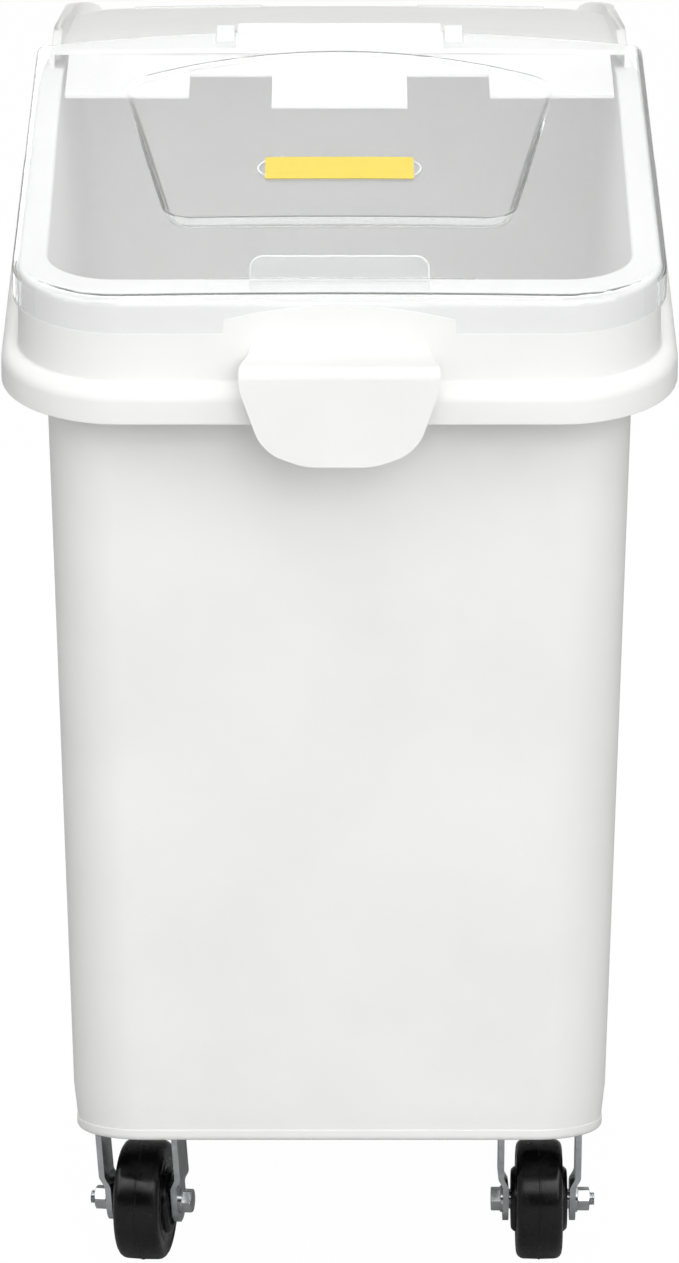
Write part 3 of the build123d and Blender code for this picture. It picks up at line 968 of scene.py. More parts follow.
@dataclass
class Tub:
    """One-piece white tub with drafted walls, base skirt, rolled rim and tongue handle."""

    rim: Rim
    base: float
    base_half_width: float = 157.0
    base_half_length: float = 321.5
    wall_corner: float = 42.0
    side_draft: float = 1.8
    end_draft: float = 0.3
    wall: float = 3.5
    floor_under: float = 104.0
    floor_top: float = 108.0
    floor_round: float = 22.0
    skirt_taper: float = 2.2
    skirt_top: float = 114.0
    bead_height: float = 6.5
    bead_inset: float = 1.0
    bead_round: float = 3.0
    bead_top_round: float = 0.6
    collar_height: float = 46.1
    flange_height: float = 20.6
    flange_round: float = 8.0
    collar_round: float = 3.0
    lip_round: float = 1.2
    mouth_round: float = 2.0
    groove_round: float = 1.5
    pad_rise: float = 12.0
    pad_size: float = 60.0
    pad_bury: float = 1.5
    pad_round: float = 5.0

    # Height that stands for the rim's line while the rings are drawn
    RIM_LEVEL = 2000.0
    # Distance past the wall's outline from which a point belongs to the rim alone
    WALL_SLACK = 0.5

    def wall_outline(self, inset: float) -> Outline:
        """Outline of the wall at its base, made smaller all round."""
        full = Outline(self.base_half_width, self.base_half_length, self.wall_corner, self.rim.middle)
        return full.inset(inset)

    def rings(self) -> BMesh:
        """Draws the tub as a closed shell with a level rim."""
        collar = self.rim.collar()
        flange = self.rim.flange()
        rim = self.RIM_LEVEL
        inner = rim - self.wall
        groove = rim - self.collar_height
        lip = groove - self.flange_height
        inset = self.wall + self.skirt_taper
        bead = self.base + self.bead_height
        neck = self.skirt_taper * (self.skirt_top - bead) / (self.skirt_top - self.base)

        stack = RingStack(self.wall_outline(inset), self.floor_under)
        foot_inner = stack.step(self.wall_outline(inset), self.base)
        foot_outer = stack.step(self.wall_outline(self.bead_inset), self.base)
        bead_top = stack.step(self.wall_outline(self.bead_inset), bead)
        stack.step(self.wall_outline(neck), bead)
        stack.step(self.wall_outline(0.0), self.skirt_top)
        stack.step(self.wall_outline(0.0), inner)
        stack.step(collar.inset(self.wall), inner)
        stack.step(collar.inset(self.wall), groove - self.wall)
        stack.step(flange.inset(self.wall), groove - self.wall)
        lip_inner = stack.step(flange.inset(self.wall), lip)
        lip_outer = stack.step(flange, lip)
        flange_top = stack.step(flange, groove)
        groove_ring = stack.step(collar, groove)
        collar_top = stack.step(collar, rim)
        mouth = stack.step(self.wall_outline(self.wall), rim)
        floor = stack.step(self.wall_outline(self.wall), self.floor_top)
        stack.close()
        face_outwards(stack.bm)
        round_edges(stack.bm, [*foot_inner, *lip_inner, *lip_outer], self.lip_round, 2)
        round_edges(stack.bm, foot_outer, self.bead_round)
        round_edges(stack.bm, bead_top, self.bead_top_round, 2)
        round_edges(stack.bm, flange_top, self.flange_round, 6)
        round_edges(stack.bm, groove_ring, self.groove_round, 3)
        round_edges(stack.bm, collar_top, self.collar_round)
        round_edges(stack.bm, mouth, self.mouth_round, 3)
        round_edges(stack.bm, floor, self.floor_round, 6)
        return stack.bm

    def settle(self, place: Vector) -> Vector:
        """Brings a point of the level shell to the drafted wall and the bent rim.

        Args:
            place: Point of the shell with a level rim.

        Returns:
            The point's real position.
        """
        x, y, z = place
        on_rim = z > self.RIM_LEVEL / 2
        if on_rim:
            z += self.rim.height(y) - self.RIM_LEVEL
        along = y - self.rim.middle
        slack = self.WALL_SLACK
        if abs(x) > self.base_half_width + slack or abs(along) > self.base_half_length + slack:
            return Vector((x, y, z))
        lift = z - self.base
        if abs(x) > self.base_half_width - self.wall_corner:
            x += math.copysign(lift * math.tan(math.radians(self.side_draft)), x)
        if abs(along) > self.base_half_length - self.wall_corner:
            moved = y + math.copysign(lift * math.tan(math.radians(self.end_draft)), along)
            if on_rim:
                z += self.rim.height(moved) - self.rim.height(y)
            y = moved
        return Vector((x, y, z))

    def pads(self, bm: BMesh, places: Iterable[tuple[float, float]]) -> None:
        """Adds the raised pads over the casters on the inner floor.

        Args:
            bm: Mesh of the tub.
            places: Plan positions of the pads.
        """
        for x, y in places:
            made = bmesh.ops.create_cube(bm, size=1.0)
            verts = made["verts"]
            height = self.pad_rise + self.pad_bury
            bmesh.ops.scale(bm, vec=Vector((self.pad_size, self.pad_size, height)), verts=verts)
            middle = self.floor_top + (self.pad_rise - self.pad_bury) / 2
            bmesh.ops.translate(bm, vec=Vector((x, y, middle)), verts=verts)
            faces = {f for v in verts for f in v.link_faces}
            low = self.floor_top
            edges = {e for f in faces for e in f.edges if max(v.co.z for v in e.verts) > low}
            round_edges(bm, edges, self.pad_round, 3)

    def build(self, pad_places: Iterable[tuple[float, float]], tongue: "Tongue") -> bpy.types.Object:
        """Makes the tub.

        Args:
            pad_places: Plan positions of the caster pads.
            tongue: Handle on the rim's front.

        Returns:
            The dressed tub.
        """
        bm = self.rings()
        start, end = self.rim.bend
        cut_across(bm, ALONG, evenly(start, end, BEND_CUTS))
        for vert in bm.verts:
            vert.co = self.settle(vert.co)
        self.pads(bm, pad_places)
        whole = gather([bm, tongue.mesh()])
        return Piece("tub_moulding", Body.BIN.value, Slot.TUB, ("tub",)).finish(whole)


@dataclass
class Tongue:
    """Pull handle: a sheet that grows out of the collar, bends down in front of the flange and tapers."""

    rim: Rim
    reach: float = 24.0
    wall: float = 4.5
    root_wall: float = 3.0
    root_half: float = 50.0
    half: float = 57.5
    knee_half: float = 44.0
    foot_half: float = 20.0
    start_drop: float = 20.0
    root_drop: float = 28.6
    shoulder_drop: float = 34.0
    taper_drop: float = 46.0
    knee_drop: float = 82.0
    foot_drop: float = 90.5
    root_bend: float = 8.0
    bend: float = 8.0
    root_corner: float = 12.0
    shoulder_corner: float = 8.0
    taper_corner: float = 5.0
    knee_corner: float = 11.0
    foot_corner: float = 6.0
    corner_steps: int = 6
    edge_round: float = 3.2
    back_round: float = 0.8
    bury: float = 0.1

    def path(self) -> BentPath:
        """Line of the outer face in Y and Z, from the collar to the foot."""
        ledge = self.rim.slope(self.rim.collar_front)
        collar = self.rim.collar_front + self.bury
        front = self.rim.front - self.reach
        corners = (
            Vector((collar, ledge - self.start_drop)),
            Vector((collar, ledge - self.root_drop)),
            Vector((front, ledge - self.shoulder_drop)),
            Vector((front, ledge - self.foot_drop)),
        )
        return BentPath(corners, (self.root_bend, self.bend))

    def settle(self, path: BentPath, place: Vector) -> Vector:
        """Bends a point of the flat sheet along the handle's path.

        Args:
            path: Line of the outer face.
            place: X across, Y along the sheet from its root, Z out of its outer face.

        Returns:
            The point's real position.
        """
        spot, out = path.at(place.y)
        grown = min(place.y / path.bends()[0][1], 1.0)
        share = (self.root_wall + grown * (self.wall - self.root_wall)) / self.wall
        spot = spot + out * place.z * share
        return Vector((place.x, spot.x, spot.y))

    def mesh(self) -> BMesh:
        """Draws the handle from its flat outline."""
        path = self.path()
        whole = path.length()
        root, shoulder = path.bends()
        stations = (
            (self.root_half, 0.0, 0.0),
            (self.root_half, root[0], self.root_corner),
            (self.half, shoulder[0], self.shoulder_corner),
            (self.half, whole - self.foot_drop + self.taper_drop, self.taper_corner),
            (self.knee_half, whole - self.foot_drop + self.knee_drop, self.knee_corner),
            (self.foot_half, whole, self.foot_corner),
        )
        bm = bmesh.new()
        pairs = mirrored_face(bm, ((half, along) for half, along, _ in stations))
        for pair, (_, _, size) in zip(pairs, stations):
            if size:
                round_corners(bm, pair, size, self.corner_steps)
        front = bm.faces[:]
        back = draw_out(bm, front, Vector((0, 0, -self.wall)))
        back_edges = {e for f in back for e in f.edges}
        front_edges = {e for e in bm.edges if all(abs(v.co.z) < CUT_SLACK for v in e.verts)}
        round_edges(bm, front_edges, self.edge_round, 5)
        round_edges(bm, [e for e in back_edges if e.is_valid], self.back_round, 2)
        for bend in (root, shoulder):
            cut_across(bm, ALONG, evenly(*bend, BEND_CUTS))
        for vert in bm.verts:
            vert.co = self.settle(path, vert.co)
        face_outwards(bm)
        return bm


@dataclass
class FrontLid:
    """Clear lid: a crowned sheet with a skirt on three sides, recessed panel, arch, tab and lugs."""

    rim: Rim
    hinge_y: float
    hinge_z: float
    back: float = 410.0
    wall: float = 2.5
    gap: float = 0.6
    skirt: float = 17.2
    crown_front: float = 2.5
    crown_rear: float = 10.5
    edge_round: float = 5.0
    arch_half: float = 67.0
    arch_side_rise: float = 7.0
    arch_rise: float = 14.4
    rim_round: float = 0.5
    panel_front: float = 121.0
    panel_rear: float = 378.0
    panel_half: float = 102.0
    panel_flare: float = 8.8
    panel_depth: float = 9.0
    panel_crown_share: float = 0.72
    panel_corner: float = 16.0
    panel_far_bow: float = 40.0
    panel_far_corner: float = 18.5
    panel_least: float = 1.0
    panel_step: float = 0.9
    panel_cuts: int = 11
    panel_near: float = 1.0
    tab_half: float = 52.0
    tab_height: float = 13.5
    tab_wall: float = 2.5
    tab_lean: float = 12.0
    tab_corner: float = 8.0
    tab_back: float = 30.0
    tab_root: float = 0.1
    lug_from: float = 65.6
    lug_width: float = 12.0
    lug_radius: float = 6.0
    lug_reach: float = 26.0
    lug_round: float = 1.0
    tab_round: float = 0.9
    strip: float = 0.8
    cut_half: float = 176.0
    cut_front: float = 20.0
    cut_rear: float = 15.0
    arch_margin: float = 4.0
    arch_step: float = 0.5
    arch_slack: float = 0.2
    # Area under which a rim face carries the painted highlight
    rim_highlight_area: float = 60.0
    pill_half: float = 49.3
    pill_length: float = 26.0
    pill_back: float = 86.0
    pill_margin: float = 14.0
    pill_flat: float = 0.1
    crease_half: float = 78.0
    crease_back: float = 1.0
    crease_margin: float = 6.0
    crease_flat: float = 0.05
    ridge_width: float = 0.9
    ridge_rise: float = 0.25

    # Cuts that let the sheet follow its crown and arch
    CUTS_ACROSS = 23
    CUTS_ALONG = 17
    CREASE_CUTS = 11
    # Vertex layer that tells how deep a point of the sheet lies in the panel, from 0 to 1
    SHARE_LAYER = "panel_share"
    # Shares of the panel's depth that are reached at equal steps across its wall
    PANEL_SHARES = (0.05, 0.18, 0.38, 0.62, 0.82, 0.95, 1.0)

    @property
    def rear(self) -> float:
        """Y of the lid's rear edge."""
        return self.rim.front + self.back

    def outline(self) -> Outline:
        """Outline of the lid's outside, run on past its rear edge."""
        return self.rim.collar().inset(-self.gap - self.wall)

    def crown(self, y: float) -> float:
        """Rise of the lid's arch at a depth."""
        start = self.rim.collar_front
        share = (y - start) / (self.rear - start)
        return self.crown_front + share * (self.crown_rear - self.crown_front)

    def arch_share(self, x: float) -> float:
        """Share of the arch's rise at a distance from the middle."""
        return 1 - (x / self.rim.half_width) ** 2

    def top(self, x: float, y: float) -> float:
        """Height of the lid's top."""
        return self.rim.slope(y) + self.gap + self.wall + self.crown(y) * self.arch_share(x)

    def depth(self, x: float, y: float) -> float:
        """Depth of the recessed panel below the lid's top.

        Args:
            x: Distance from the lid's middle.
            y: Depth from front to back.

        Returns:
            The panel's depth, which fades out towards the rear.
        """
        near = self.rim.front + self.panel_front
        meet = self.rim.front + self.panel_rear
        fall = self.panel_depth * (meet - y) / (meet - near)
        flatter = (1 - self.panel_crown_share) * self.crown(y) * (1 - self.arch_share(x))
        return max(fall - flatter, self.panel_least)

    def panel_face(self, bm: BMesh) -> BMFace:
        """Adds the outline of the recessed panel, with an arched far edge, as a flat face.

        Args:
            bm: Empty mesh.

        Returns:
            The face.
        """
        near = self.rim.front + self.panel_front
        crest = self.rim.front + self.panel_rear
        side = crest - self.panel_far_bow
        far = self.panel_half + (side - near) * math.tan(math.radians(self.panel_flare))
        radius = (far**2 + self.panel_far_bow**2) / (2 * self.panel_far_bow)
        places = ((-self.panel_half, near), (self.panel_half, near), (far, side), (-far, side))
        verts = [bm.verts.new((x, y, 0)) for x, y in places]
        face = bm.faces.new(verts)
        far_edge = next(e for e in face.edges if set(e.verts) == {verts[2], verts[3]})
        bmesh.ops.bisect_edges(bm, edges=[far_edge], cuts=self.panel_cuts)
        for vert in bm.verts:
            if vert.co.y > side - self.panel_near:
                vert.co.y = crest - radius + math.sqrt(radius**2 - vert.co.x**2)
        far_corners = [v for v in bm.verts if abs(v.co.x) > far - self.panel_near]
        round_corners(bm, far_corners, self.panel_far_corner, 8)
        near_corners = [v for v in bm.verts if v.co.y < near + self.panel_near]
        round_corners(bm, near_corners, self.panel_corner, 8)
        bm.faces.ensure_lookup_table()
        return bm.faces[0]

    def sheet(self) -> BMesh:
        """Draws the lid's outer face as an open sheet with a level top."""
        panel_mesh = bmesh.new()
        panel = self.panel_face(panel_mesh)
        loop = [v.co.copy() for v in panel.verts]
        panel_mesh.free()

        outline = self.outline()
        stack = RingStack(outline.inset(self.edge_round), 0.0)
        bm = stack.bm
        share_layer = bm.verts.layers.float.new(self.SHARE_LAYER)
        rim_highlight_layer = bm.faces.layers.float.new(RIM_HIGHLIGHT_LAYER)
        stack.ring = [e for e in bm.edges if e.is_boundary]
        border = list(stack.ring)
        stack.roll(outline, self.edge_round, ROUND_STEPS + 1)
        low = -self.skirt - self.gap - self.wall
        stack.step(outline, low + self.strip)
        # Painted highlight: the skirt's lowest strip turns white and matt
        for edge in stack.step(outline, low):
            edge.link_faces[0][rim_highlight_layer] = 1.0
        lid_face = next(f for f in bm.faces if len(f.verts) == len(border) and f.normal.z**2 > 0.9)
        bmesh.ops.delete(bm, geom=[lid_face], context="FACES_ONLY")
        panel = bm.faces.new([bm.verts.new(co) for co in loop])
        bmesh.ops.triangle_fill(bm, edges=[*border, *panel.edges], use_beauty=True)
        for share in self.PANEL_SHARES:
            bmesh.ops.inset_region(bm, faces=[panel], thickness=self.panel_step, use_even_offset=True)
            for vert in panel.verts:
                vert[share_layer] = share
        return bm

    def sheet_mesh(self) -> BMesh:
        """Gives the sheet its panel, arch, crown and thickness."""
        bm = self.sheet()
        layer = bm.verts.layers.float[self.SHARE_LAYER]
        cut_off(bm, Vector((0, self.rear, 0)), ALONG)
        for half in (self.cut_half, self.arch_half - self.arch_margin):
            cut_crosswise(bm, half, self.CUTS_ACROSS)
        edges = [self.arch_half, self.arch_half - self.arch_step]
        cut_across(bm, ACROSS, [*edges, *(-x for x in edges)])
        first, last = self.rim.front + self.cut_front, self.rear - self.cut_rear
        cut_across(bm, ALONG, evenly(first, last, self.CUTS_ALONG))
        low = -self.skirt - self.gap - self.wall
        for vert in bm.verts:
            x, y, z = vert.co
            share = vert[layer]
            if share > 0:
                vert.co.z = self.top(x, y) - share * self.depth(x, y)
                continue
            on_rim = z < low + self.strip + MERGE_SLACK
            if on_rim and y < self.rim.collar_front and abs(x) < self.arch_half - self.arch_slack:
                bow = 1 - (x / self.arch_half) ** 2
                z += self.arch_side_rise + (self.arch_rise - self.arch_side_rise) * bow
            flat = self.rim.slope(y) + self.gap + self.wall
            vert.co.z = flat + z + (self.top(x, y) - flat) * (1 - z / low)
        face_outwards(bm)
        up = max(bm.faces, key=lambda f: f.calc_area())
        if up.normal.z < 0:
            bmesh.ops.reverse_faces(bm, faces=bm.faces[:])
        bmesh.ops.solidify(bm, geom=bm.faces[:], thickness=self.wall)
        rim = round_edges(bm, sharp_edges(bm), self.rim_round, 2)
        # Painted highlight on the sheet's rounded rims
        paint_rim_highlight(bm, rim, self.rim_highlight_area)
        return bm

    def tab_mesh(self) -> BMesh:
        """Draws the upright finger tab near the lid's front."""
        y = self.rim.front + self.tab_back
        bm = bmesh.new()
        bm.faces.layers.float.new(RIM_HIGHLIGHT_LAYER)
        places = ((-1, -self.tab_root), (1, -self.tab_root), (1, 1), (-1, 1))
        verts = [bm.verts.new((sx * self.tab_half, 0, sz * self.tab_height)) for sx, sz in places]
        bm.faces.new(verts)
        round_corners(bm, verts[2:], self.tab_corner, 8)
        draw_out(bm, bm.faces[:], Vector((0, -self.tab_wall, 0)))
        rim = round_edges(bm, sharp_edges(bm), self.tab_round, 3)
        # Painted highlight on the tab's rounded rims
        paint_rim_highlight(bm, rim, self.tab_half * self.tab_height)
        place = Matrix.Translation((0, y, self.top(0, y)))
        lean = Matrix.Rotation(math.radians(-self.tab_lean), 4, "X")
        move(bm, place @ lean)
        return bm

    def lug_mesh(self) -> BMesh:
        """Draws the two lugs that carry the lid on the hinge pin."""
        bm = bmesh.new()
        bm.faces.layers.float.new(RIM_HIGHLIGHT_LAYER)
        root_y = self.hinge_y - self.lug_reach
        root_z = self.top(self.lug_from, root_y) - self.wall / 2
        turned = Matrix.Rotation(math.pi / 2, 4, "Y")
        for start in (self.lug_from, -self.lug_from - self.lug_width):
            hull: list[BMVert] = []
            for x in (start, start + self.lug_width):
                place = Matrix.Translation((x, self.hinge_y, self.hinge_z)) @ turned
                ring = bmesh.ops.create_circle(
                    bm, radius=self.lug_radius, segments=PIN_FACES, matrix=place
                )
                hull.extend(ring["verts"])
                hull.extend(bm.verts.new((x, root_y, root_z + dz)) for dz in (-self.wall / 2, self.wall / 2))
            wrapped = bmesh.ops.convex_hull(bm, input=hull)
            inside = [v for v in wrapped["geom_interior"] if isinstance(v, BMVert)]
            bmesh.ops.delete(bm, geom=inside, context="VERTS")
        flat = math.radians(FLAT_ANGLE)
        bmesh.ops.dissolve_limit(bm, angle_limit=flat, verts=bm.verts[:], edges=bm.edges[:])
        face_outwards(bm)
        round_edges(bm, sharp_edges(bm), self.lug_round, 3)
        # Painted highlight over the whole of both lugs
        paint_rim_highlight(bm, bm.verts[:], math.inf)
        return bm

    def floor(self, x: float, y: float) -> float:
        """Height of the recessed panel's floor."""
        return self.top(x, y) - self.depth(x, y)

    def pill_mesh(self) -> BMesh:
        """Draws the low ridge that frames the label's place."""
        near = self.rim.front + self.panel_front + self.pill_back
        bm = bmesh.new()
        bm.faces.layers.float.new(RIM_HIGHLIGHT_LAYER)
        half = self.pill_length / 2
        face = Outline(self.pill_half, half, half - self.pill_flat, near).face(bm, self.ridge_rise)
        bmesh.ops.inset_region(
            bm, faces=[face], thickness=self.ridge_width, use_boundary=True, use_even_offset=True
        )
        bmesh.ops.delete(bm, geom=[face], context="FACES")
        cut_crosswise(bm, self.pill_half - self.pill_margin, BEND_CUTS)
        draw_out(bm, bm.faces[:], Vector((0, 0, -2 * self.ridge_rise)))
        for vert in bm.verts:
            vert.co.z += self.floor(vert.co.x, vert.co.y)
        # Painted highlight on the ridge's small faces
        paint_rim_highlight(bm, bm.verts[:], self.rim_highlight_area)
        return bm

    def crease_mesh(self) -> BMesh:
        """Draws the fine ridge across the lid at the tab's foot."""
        y = self.rim.front + self.tab_back + self.crease_back
        bm = bmesh.new()
        half = self.ridge_width / 2
        Outline(self.crease_half, half, half - self.crease_flat, y).face(bm, self.ridge_rise)
        cut_crosswise(bm, self.crease_half - self.crease_margin, self.CREASE_CUTS)
        draw_out(bm, bm.faces[:], Vector((0, 0, -2 * self.ridge_rise)))
        for vert in bm.verts:
            vert.co.z += self.top(vert.co.x, vert.co.y)
        return bm

    def build(self) -> bpy.types.Object:
        """Makes the lid as one moulding."""
        parts = (self.sheet_mesh(), self.tab_mesh(), self.lug_mesh(), self.pill_mesh(), self.crease_mesh())
        whole = gather(parts)
        return Piece("clear_lid", Body.LID.value, Slot.CLEAR, ("front_lid",)).finish(whole)


@dataclass
class Label:
    """Plain strip stuck on the floor of the lid's recessed panel."""

    lid: FrontLid
    half_width: float = 44.5
    length: float = 30.0
    thickness: float = 0.3
    corner: float = 1.0
    from_panel_front: float = 71.0
    margin: float = 4.0

    # Cuts that let the strip follow the panel's floor
    CUTS = 17

    def build(self) -> bpy.types.Object:
        """Makes the strip and lays it on the panel's floor."""
        middle = self.lid.rim.front + self.lid.panel_front + self.from_panel_front + self.length / 2
        bm = bmesh.new()
        Outline(self.half_width, self.length / 2, self.corner, middle).face(bm, self.thickness)
        draw_out(bm, bm.faces[:], Vector((0, 0, -self.thickness)))
        cut_crosswise(bm, self.half_width - self.margin, self.CUTS)
        for vert in bm.verts:
            x, y, z = vert.co
            vert.co.z = self.lid.floor(x, y) + z
        return Piece("label_strip", Body.LID.value, Slot.LABEL, ("label",)).finish(bm)


@dataclass
class RearLid:
    """Opaque rear lid: crowned deck, side ears, notched apron and hinge knuckle."""

    rim: Rim
    lid_rear: float
    hinge_y: float
    hinge_z: float
    inset: float = 5.0
    corner: float = 45.0
    wall: float = 3.0
    front_gap: float = 3.0
    front_rise: float = 10.5
    rear_rise: float = 15.9
    crown_front: float = 1.5
    crown_rear: float = 3.3
    edge_round: float = 2.0
    ear_height: float = 22.6
    ear_wall: float = 6.0
    ear_front: float = 436.0
    ear_slope: float = 46.0
    ear_rear_inset: float = 12.0
    ear_rear_slope: float = 8.0
    ear_round: float = 1.8
    proud: float = 0.08
    apron_half: float = 170.0
    apron_front: float = 345.0
    apron_drop: float = 4.0
    apron_centre: float = 42.0
    apron_reach: float = 17.0
    notch_width: float = 51.0
    notch_depth: float = 37.0
    knuckle_radius: float = 7.45
    knuckle_length: float = 130.0
    knuckle_round: float = 3.0
    bar_start: float = 52.0
    bar_length: float = 85.0
    bar_width: float = 4.0
    bar_rise: float = 1.2
    small_round: float = 0.7
    cut_half: float = 165.0
    ear_first_cut: float = 4.0

    # Height that stands for the ledge while the rings are drawn
    FOOT = -100.0
    # Cuts that let the deck follow its crown, and cuts on an ear's front and rear slopes
    CUTS = 13
    EAR_CUTS = 4
    EAR_REAR_CUTS = 5
    # Angle between faces, in degrees, past which an ear's edge gets a round
    EAR_ANGLE = 50.0

    @property
    def front(self) -> float:
        """Y of the deck's front edge."""
        return self.lid_rear + self.front_gap

    def outline(self) -> Outline:
        """Outline of the deck, run on in front of its front edge."""
        collar = self.rim.collar()
        return Outline(
            collar.half_width - self.inset, collar.half_length - self.inset, self.corner, self.rim.middle
        )

    def deck(self, x: float, y: float) -> float:
        """Height of the deck's top.

        Args:
            x: Distance from the deck's middle.
            y: Depth from front to back.

        Returns:
            The height.
        """
        share = (y - self.front) / (self.rim.rear - self.front)
        rise = self.front_rise + share * (self.rear_rise - self.front_rise)
        crown = self.crown_front + share * (self.crown_rear - self.crown_front)
        return self.rim.level + rise + crown * (1 - (x / self.rim.half_width) ** 2)

    def deck_mesh(self) -> BMesh:
        """Draws the crowned deck with its stepped edge."""
        outline = self.outline()
        stack = RingStack(outline.inset(self.edge_round), 0.0)
        stack.roll(outline, self.edge_round, ROUND_STEPS)
        stack.step(outline, self.FOOT)
        stack.step(outline.inset(self.wall), self.FOOT)
        stack.step(outline.inset(self.wall), -self.wall)
        stack.close()
        bm = stack.bm
        cut_off(bm, Vector((0, self.front, 0)), -ALONG)
        fill_holes(bm)
        cut_crosswise(bm, self.cut_half, self.CUTS)
        for vert in bm.verts:
            x, y, z = vert.co
            vert.co.z = self.rim.level if z < self.FOOT / 2 else self.deck(x, y) + z
        face_outwards(bm)
        return bm

    def ear_top(self, y: float) -> float:
        """Height of an ear's crest at a depth.

        Args:
            y: Depth from front to back.

        Returns:
            The height on the front slope, the level crest or the rear round.
        """
        start = self.rim.front + self.ear_front
        end = self.outline().middle + self.outline().half_length - self.ear_rear_inset
        crest = self.rim.level + self.ear_height
        base = self.deck(self.rim.half_width, y)
        if y < start + self.ear_slope:
            share = (y - start) / self.ear_slope
            return base + share * (crest - base)
        if y > end - self.ear_rear_slope:
            share = (y - end + self.ear_rear_slope) / self.ear_rear_slope
            return base + math.sqrt(max(0.0, 1 - share**2)) * (crest - base)
        return crest

    def ear_mesh(self) -> BMesh:
        """Draws the raised ear along each side, round into the rear corners."""
        outline = self.outline()
        start = self.rim.front + self.ear_front
        end = outline.middle + outline.half_length - self.ear_rear_inset
        bm = bmesh.new()
        face = outline.inset(-self.proud).face(bm, 0.0)
        bmesh.ops.inset_region(
            bm, faces=[face], thickness=self.ear_wall, use_boundary=True, use_even_offset=True
        )
        bmesh.ops.delete(bm, geom=[face], context="FACES")
        cut_off(bm, Vector((0, start, 0)), -ALONG)
        cut_off(bm, Vector((0, end, 0)), ALONG)
        count = self.EAR_REAR_CUTS
        rear_cuts = [
            end - self.ear_rear_slope * (1 - math.sin(math.pi / 2 * i / count)) for i in range(count)
        ]
        front_cuts = evenly(start + self.ear_first_cut, start + self.ear_slope, self.EAR_CUTS)
        cut_across(bm, ALONG, [*front_cuts, *rear_cuts])
        draw_out(bm, bm.faces[:], UP)
        crest = {v for v in bm.verts if v.co.z > UP.z / 2}
        for vert in bm.verts:
            vert.co.z = self.ear_top(vert.co.y) if vert in crest else self.rim.level + self.wall
        walls = [e for e in sharp_edges(bm, self.EAR_ANGLE) if crest.issuperset(e.verts)]
        round_edges(bm, walls, self.ear_round, 3)
        return bm

    def apron_mesh(self) -> BMesh:
        """Draws the notched apron that runs forward under the clear lid."""
        near = self.rim.front + self.apron_front
        notch = self.apron_centre + self.notch_width
        back = self.front + self.wall
        steps = (
            (self.apron_half, back),
            (self.apron_half, near),
            (notch, near),
            (notch, near + self.notch_depth),
            (self.apron_centre, near + self.notch_depth),
            (self.apron_centre, near - self.apron_reach),
        )
        bm = bmesh.new()
        mirrored_face(bm, steps)
        draw_out(bm, bm.faces[:], Vector((0, 0, -self.wall)))
        round_edges(bm, sharp_edges(bm), self.small_round, 2)
        for vert in bm.verts:
            vert.co.z += self.rim.slope(vert.co.y) - self.apron_drop
        return bm

    def knuckle_mesh(self) -> BMesh:
        """Draws the hinge knuckle on its web."""
        bm = bmesh.new()
        place = Matrix.Translation((0, self.hinge_y, self.hinge_z)) @ Matrix.Rotation(math.pi / 2, 4, "Y")
        radius = self.knuckle_radius
        bmesh.ops.create_cone(
            bm, cap_ends=True, segments=KNUCKLE_FACES, radius1=radius, radius2=radius,
            depth=self.knuckle_length, matrix=place,
        )
        low = self.rim.level + self.front_rise - self.wall / 2
        web = Matrix.Diagonal((self.knuckle_length, 2 * radius, self.hinge_z - low, 1))
        web = Matrix.Translation((0, self.hinge_y, (self.hinge_z + low) / 2)) @ web
        round_edges(bm, sharp_edges(bm), self.knuckle_round, 4)
        bmesh.ops.create_cube(bm, size=1.0, matrix=web)
        return bm

    def bar_mesh(self) -> BMesh:
        """Draws the two low bars along the deck's rear edge."""
        rear = self.rim.rear - self.rim.overhang - self.inset - self.edge_round
        front = rear - self.bar_width
        ends = (self.bar_start, self.bar_start + self.bar_length)
        bm = bmesh.new()
        for near, far in (ends, (-ends[1], -ends[0])):
            places = ((near, front), (far, front), (far, rear), (near, rear))
            corners = [bm.verts.new((x, y, 0)) for x, y in places]
            bm.faces.new(corners)
            round_corners(bm, corners, self.bar_width / 4, 3)
        draw_out(bm, bm.faces[:], UP)
        steps = evenly(*ends, BEND_CUTS)[1:-1]
        cut_across(bm, ACROSS, [*steps, *(-x for x in steps)])
        for vert in bm.verts:
            x, y, z = vert.co
            vert.co.z = self.deck(x, y) + (self.bar_rise if z > UP.z / 2 else -self.wall / 2)
        crest = [e for e in sharp_edges(bm) if all(v.co.z > self.deck(v.co.x, v.co.y) for v in e.verts)]
        round_edges(bm, crest, self.small_round, 2)
        return bm

    def build(self) -> bpy.types.Object:
        """Makes the rear lid as one moulding."""
        parts = (self.deck_mesh(), self.ear_mesh(), self.apron_mesh(), self.knuckle_mesh(), self.bar_mesh())
        whole = gather(parts)
        return Piece("rear_lid_moulding", Body.BIN.value, Slot.REAR_LID, ("rear_lid",)).finish(whole)


def turned(profile: Sequence[tuple[float, float, float]], steps: int) -> BMesh:
    """Turns a closed profile round the X axis.

    Args:
        profile: Places along the axis, each with its radius and the size of its round.
        steps: Number of faces round the axis.

    Returns:
        The closed mesh.
    """
    bm = bmesh.new()
    verts = [bm.verts.new((along, 0, radius)) for along, radius, _ in profile]
    bm.faces.new(verts)
    for vert, (_, _, size) in zip(verts, profile):
        if size:
            round_corners(bm, [vert], size, ROUND_STEPS)
    bmesh.ops.delete(bm, geom=bm.faces[:], context="FACES_ONLY")
    on_axis = [edge for edge in bm.edges if not any(vert.co.z for vert in edge.verts)]
    bmesh.ops.delete(bm, geom=on_axis, context="EDGES")
    bmesh.ops.spin(
        bm, geom=[*bm.verts, *bm.edges], cent=(0, 0, 0), axis=ACROSS, angle=2 * math.pi, steps=steps,
        use_merge=True,
    )
    face_outwards(bm)
    return bm


def both_sides(half: Sequence[tuple[float, float, float]]) -> list[tuple[float, float, float]]:
    """A profile's right half with its mirrored left half."""
    return [*half, *((-along, radius, size) for along, radius, size in reversed(half))]


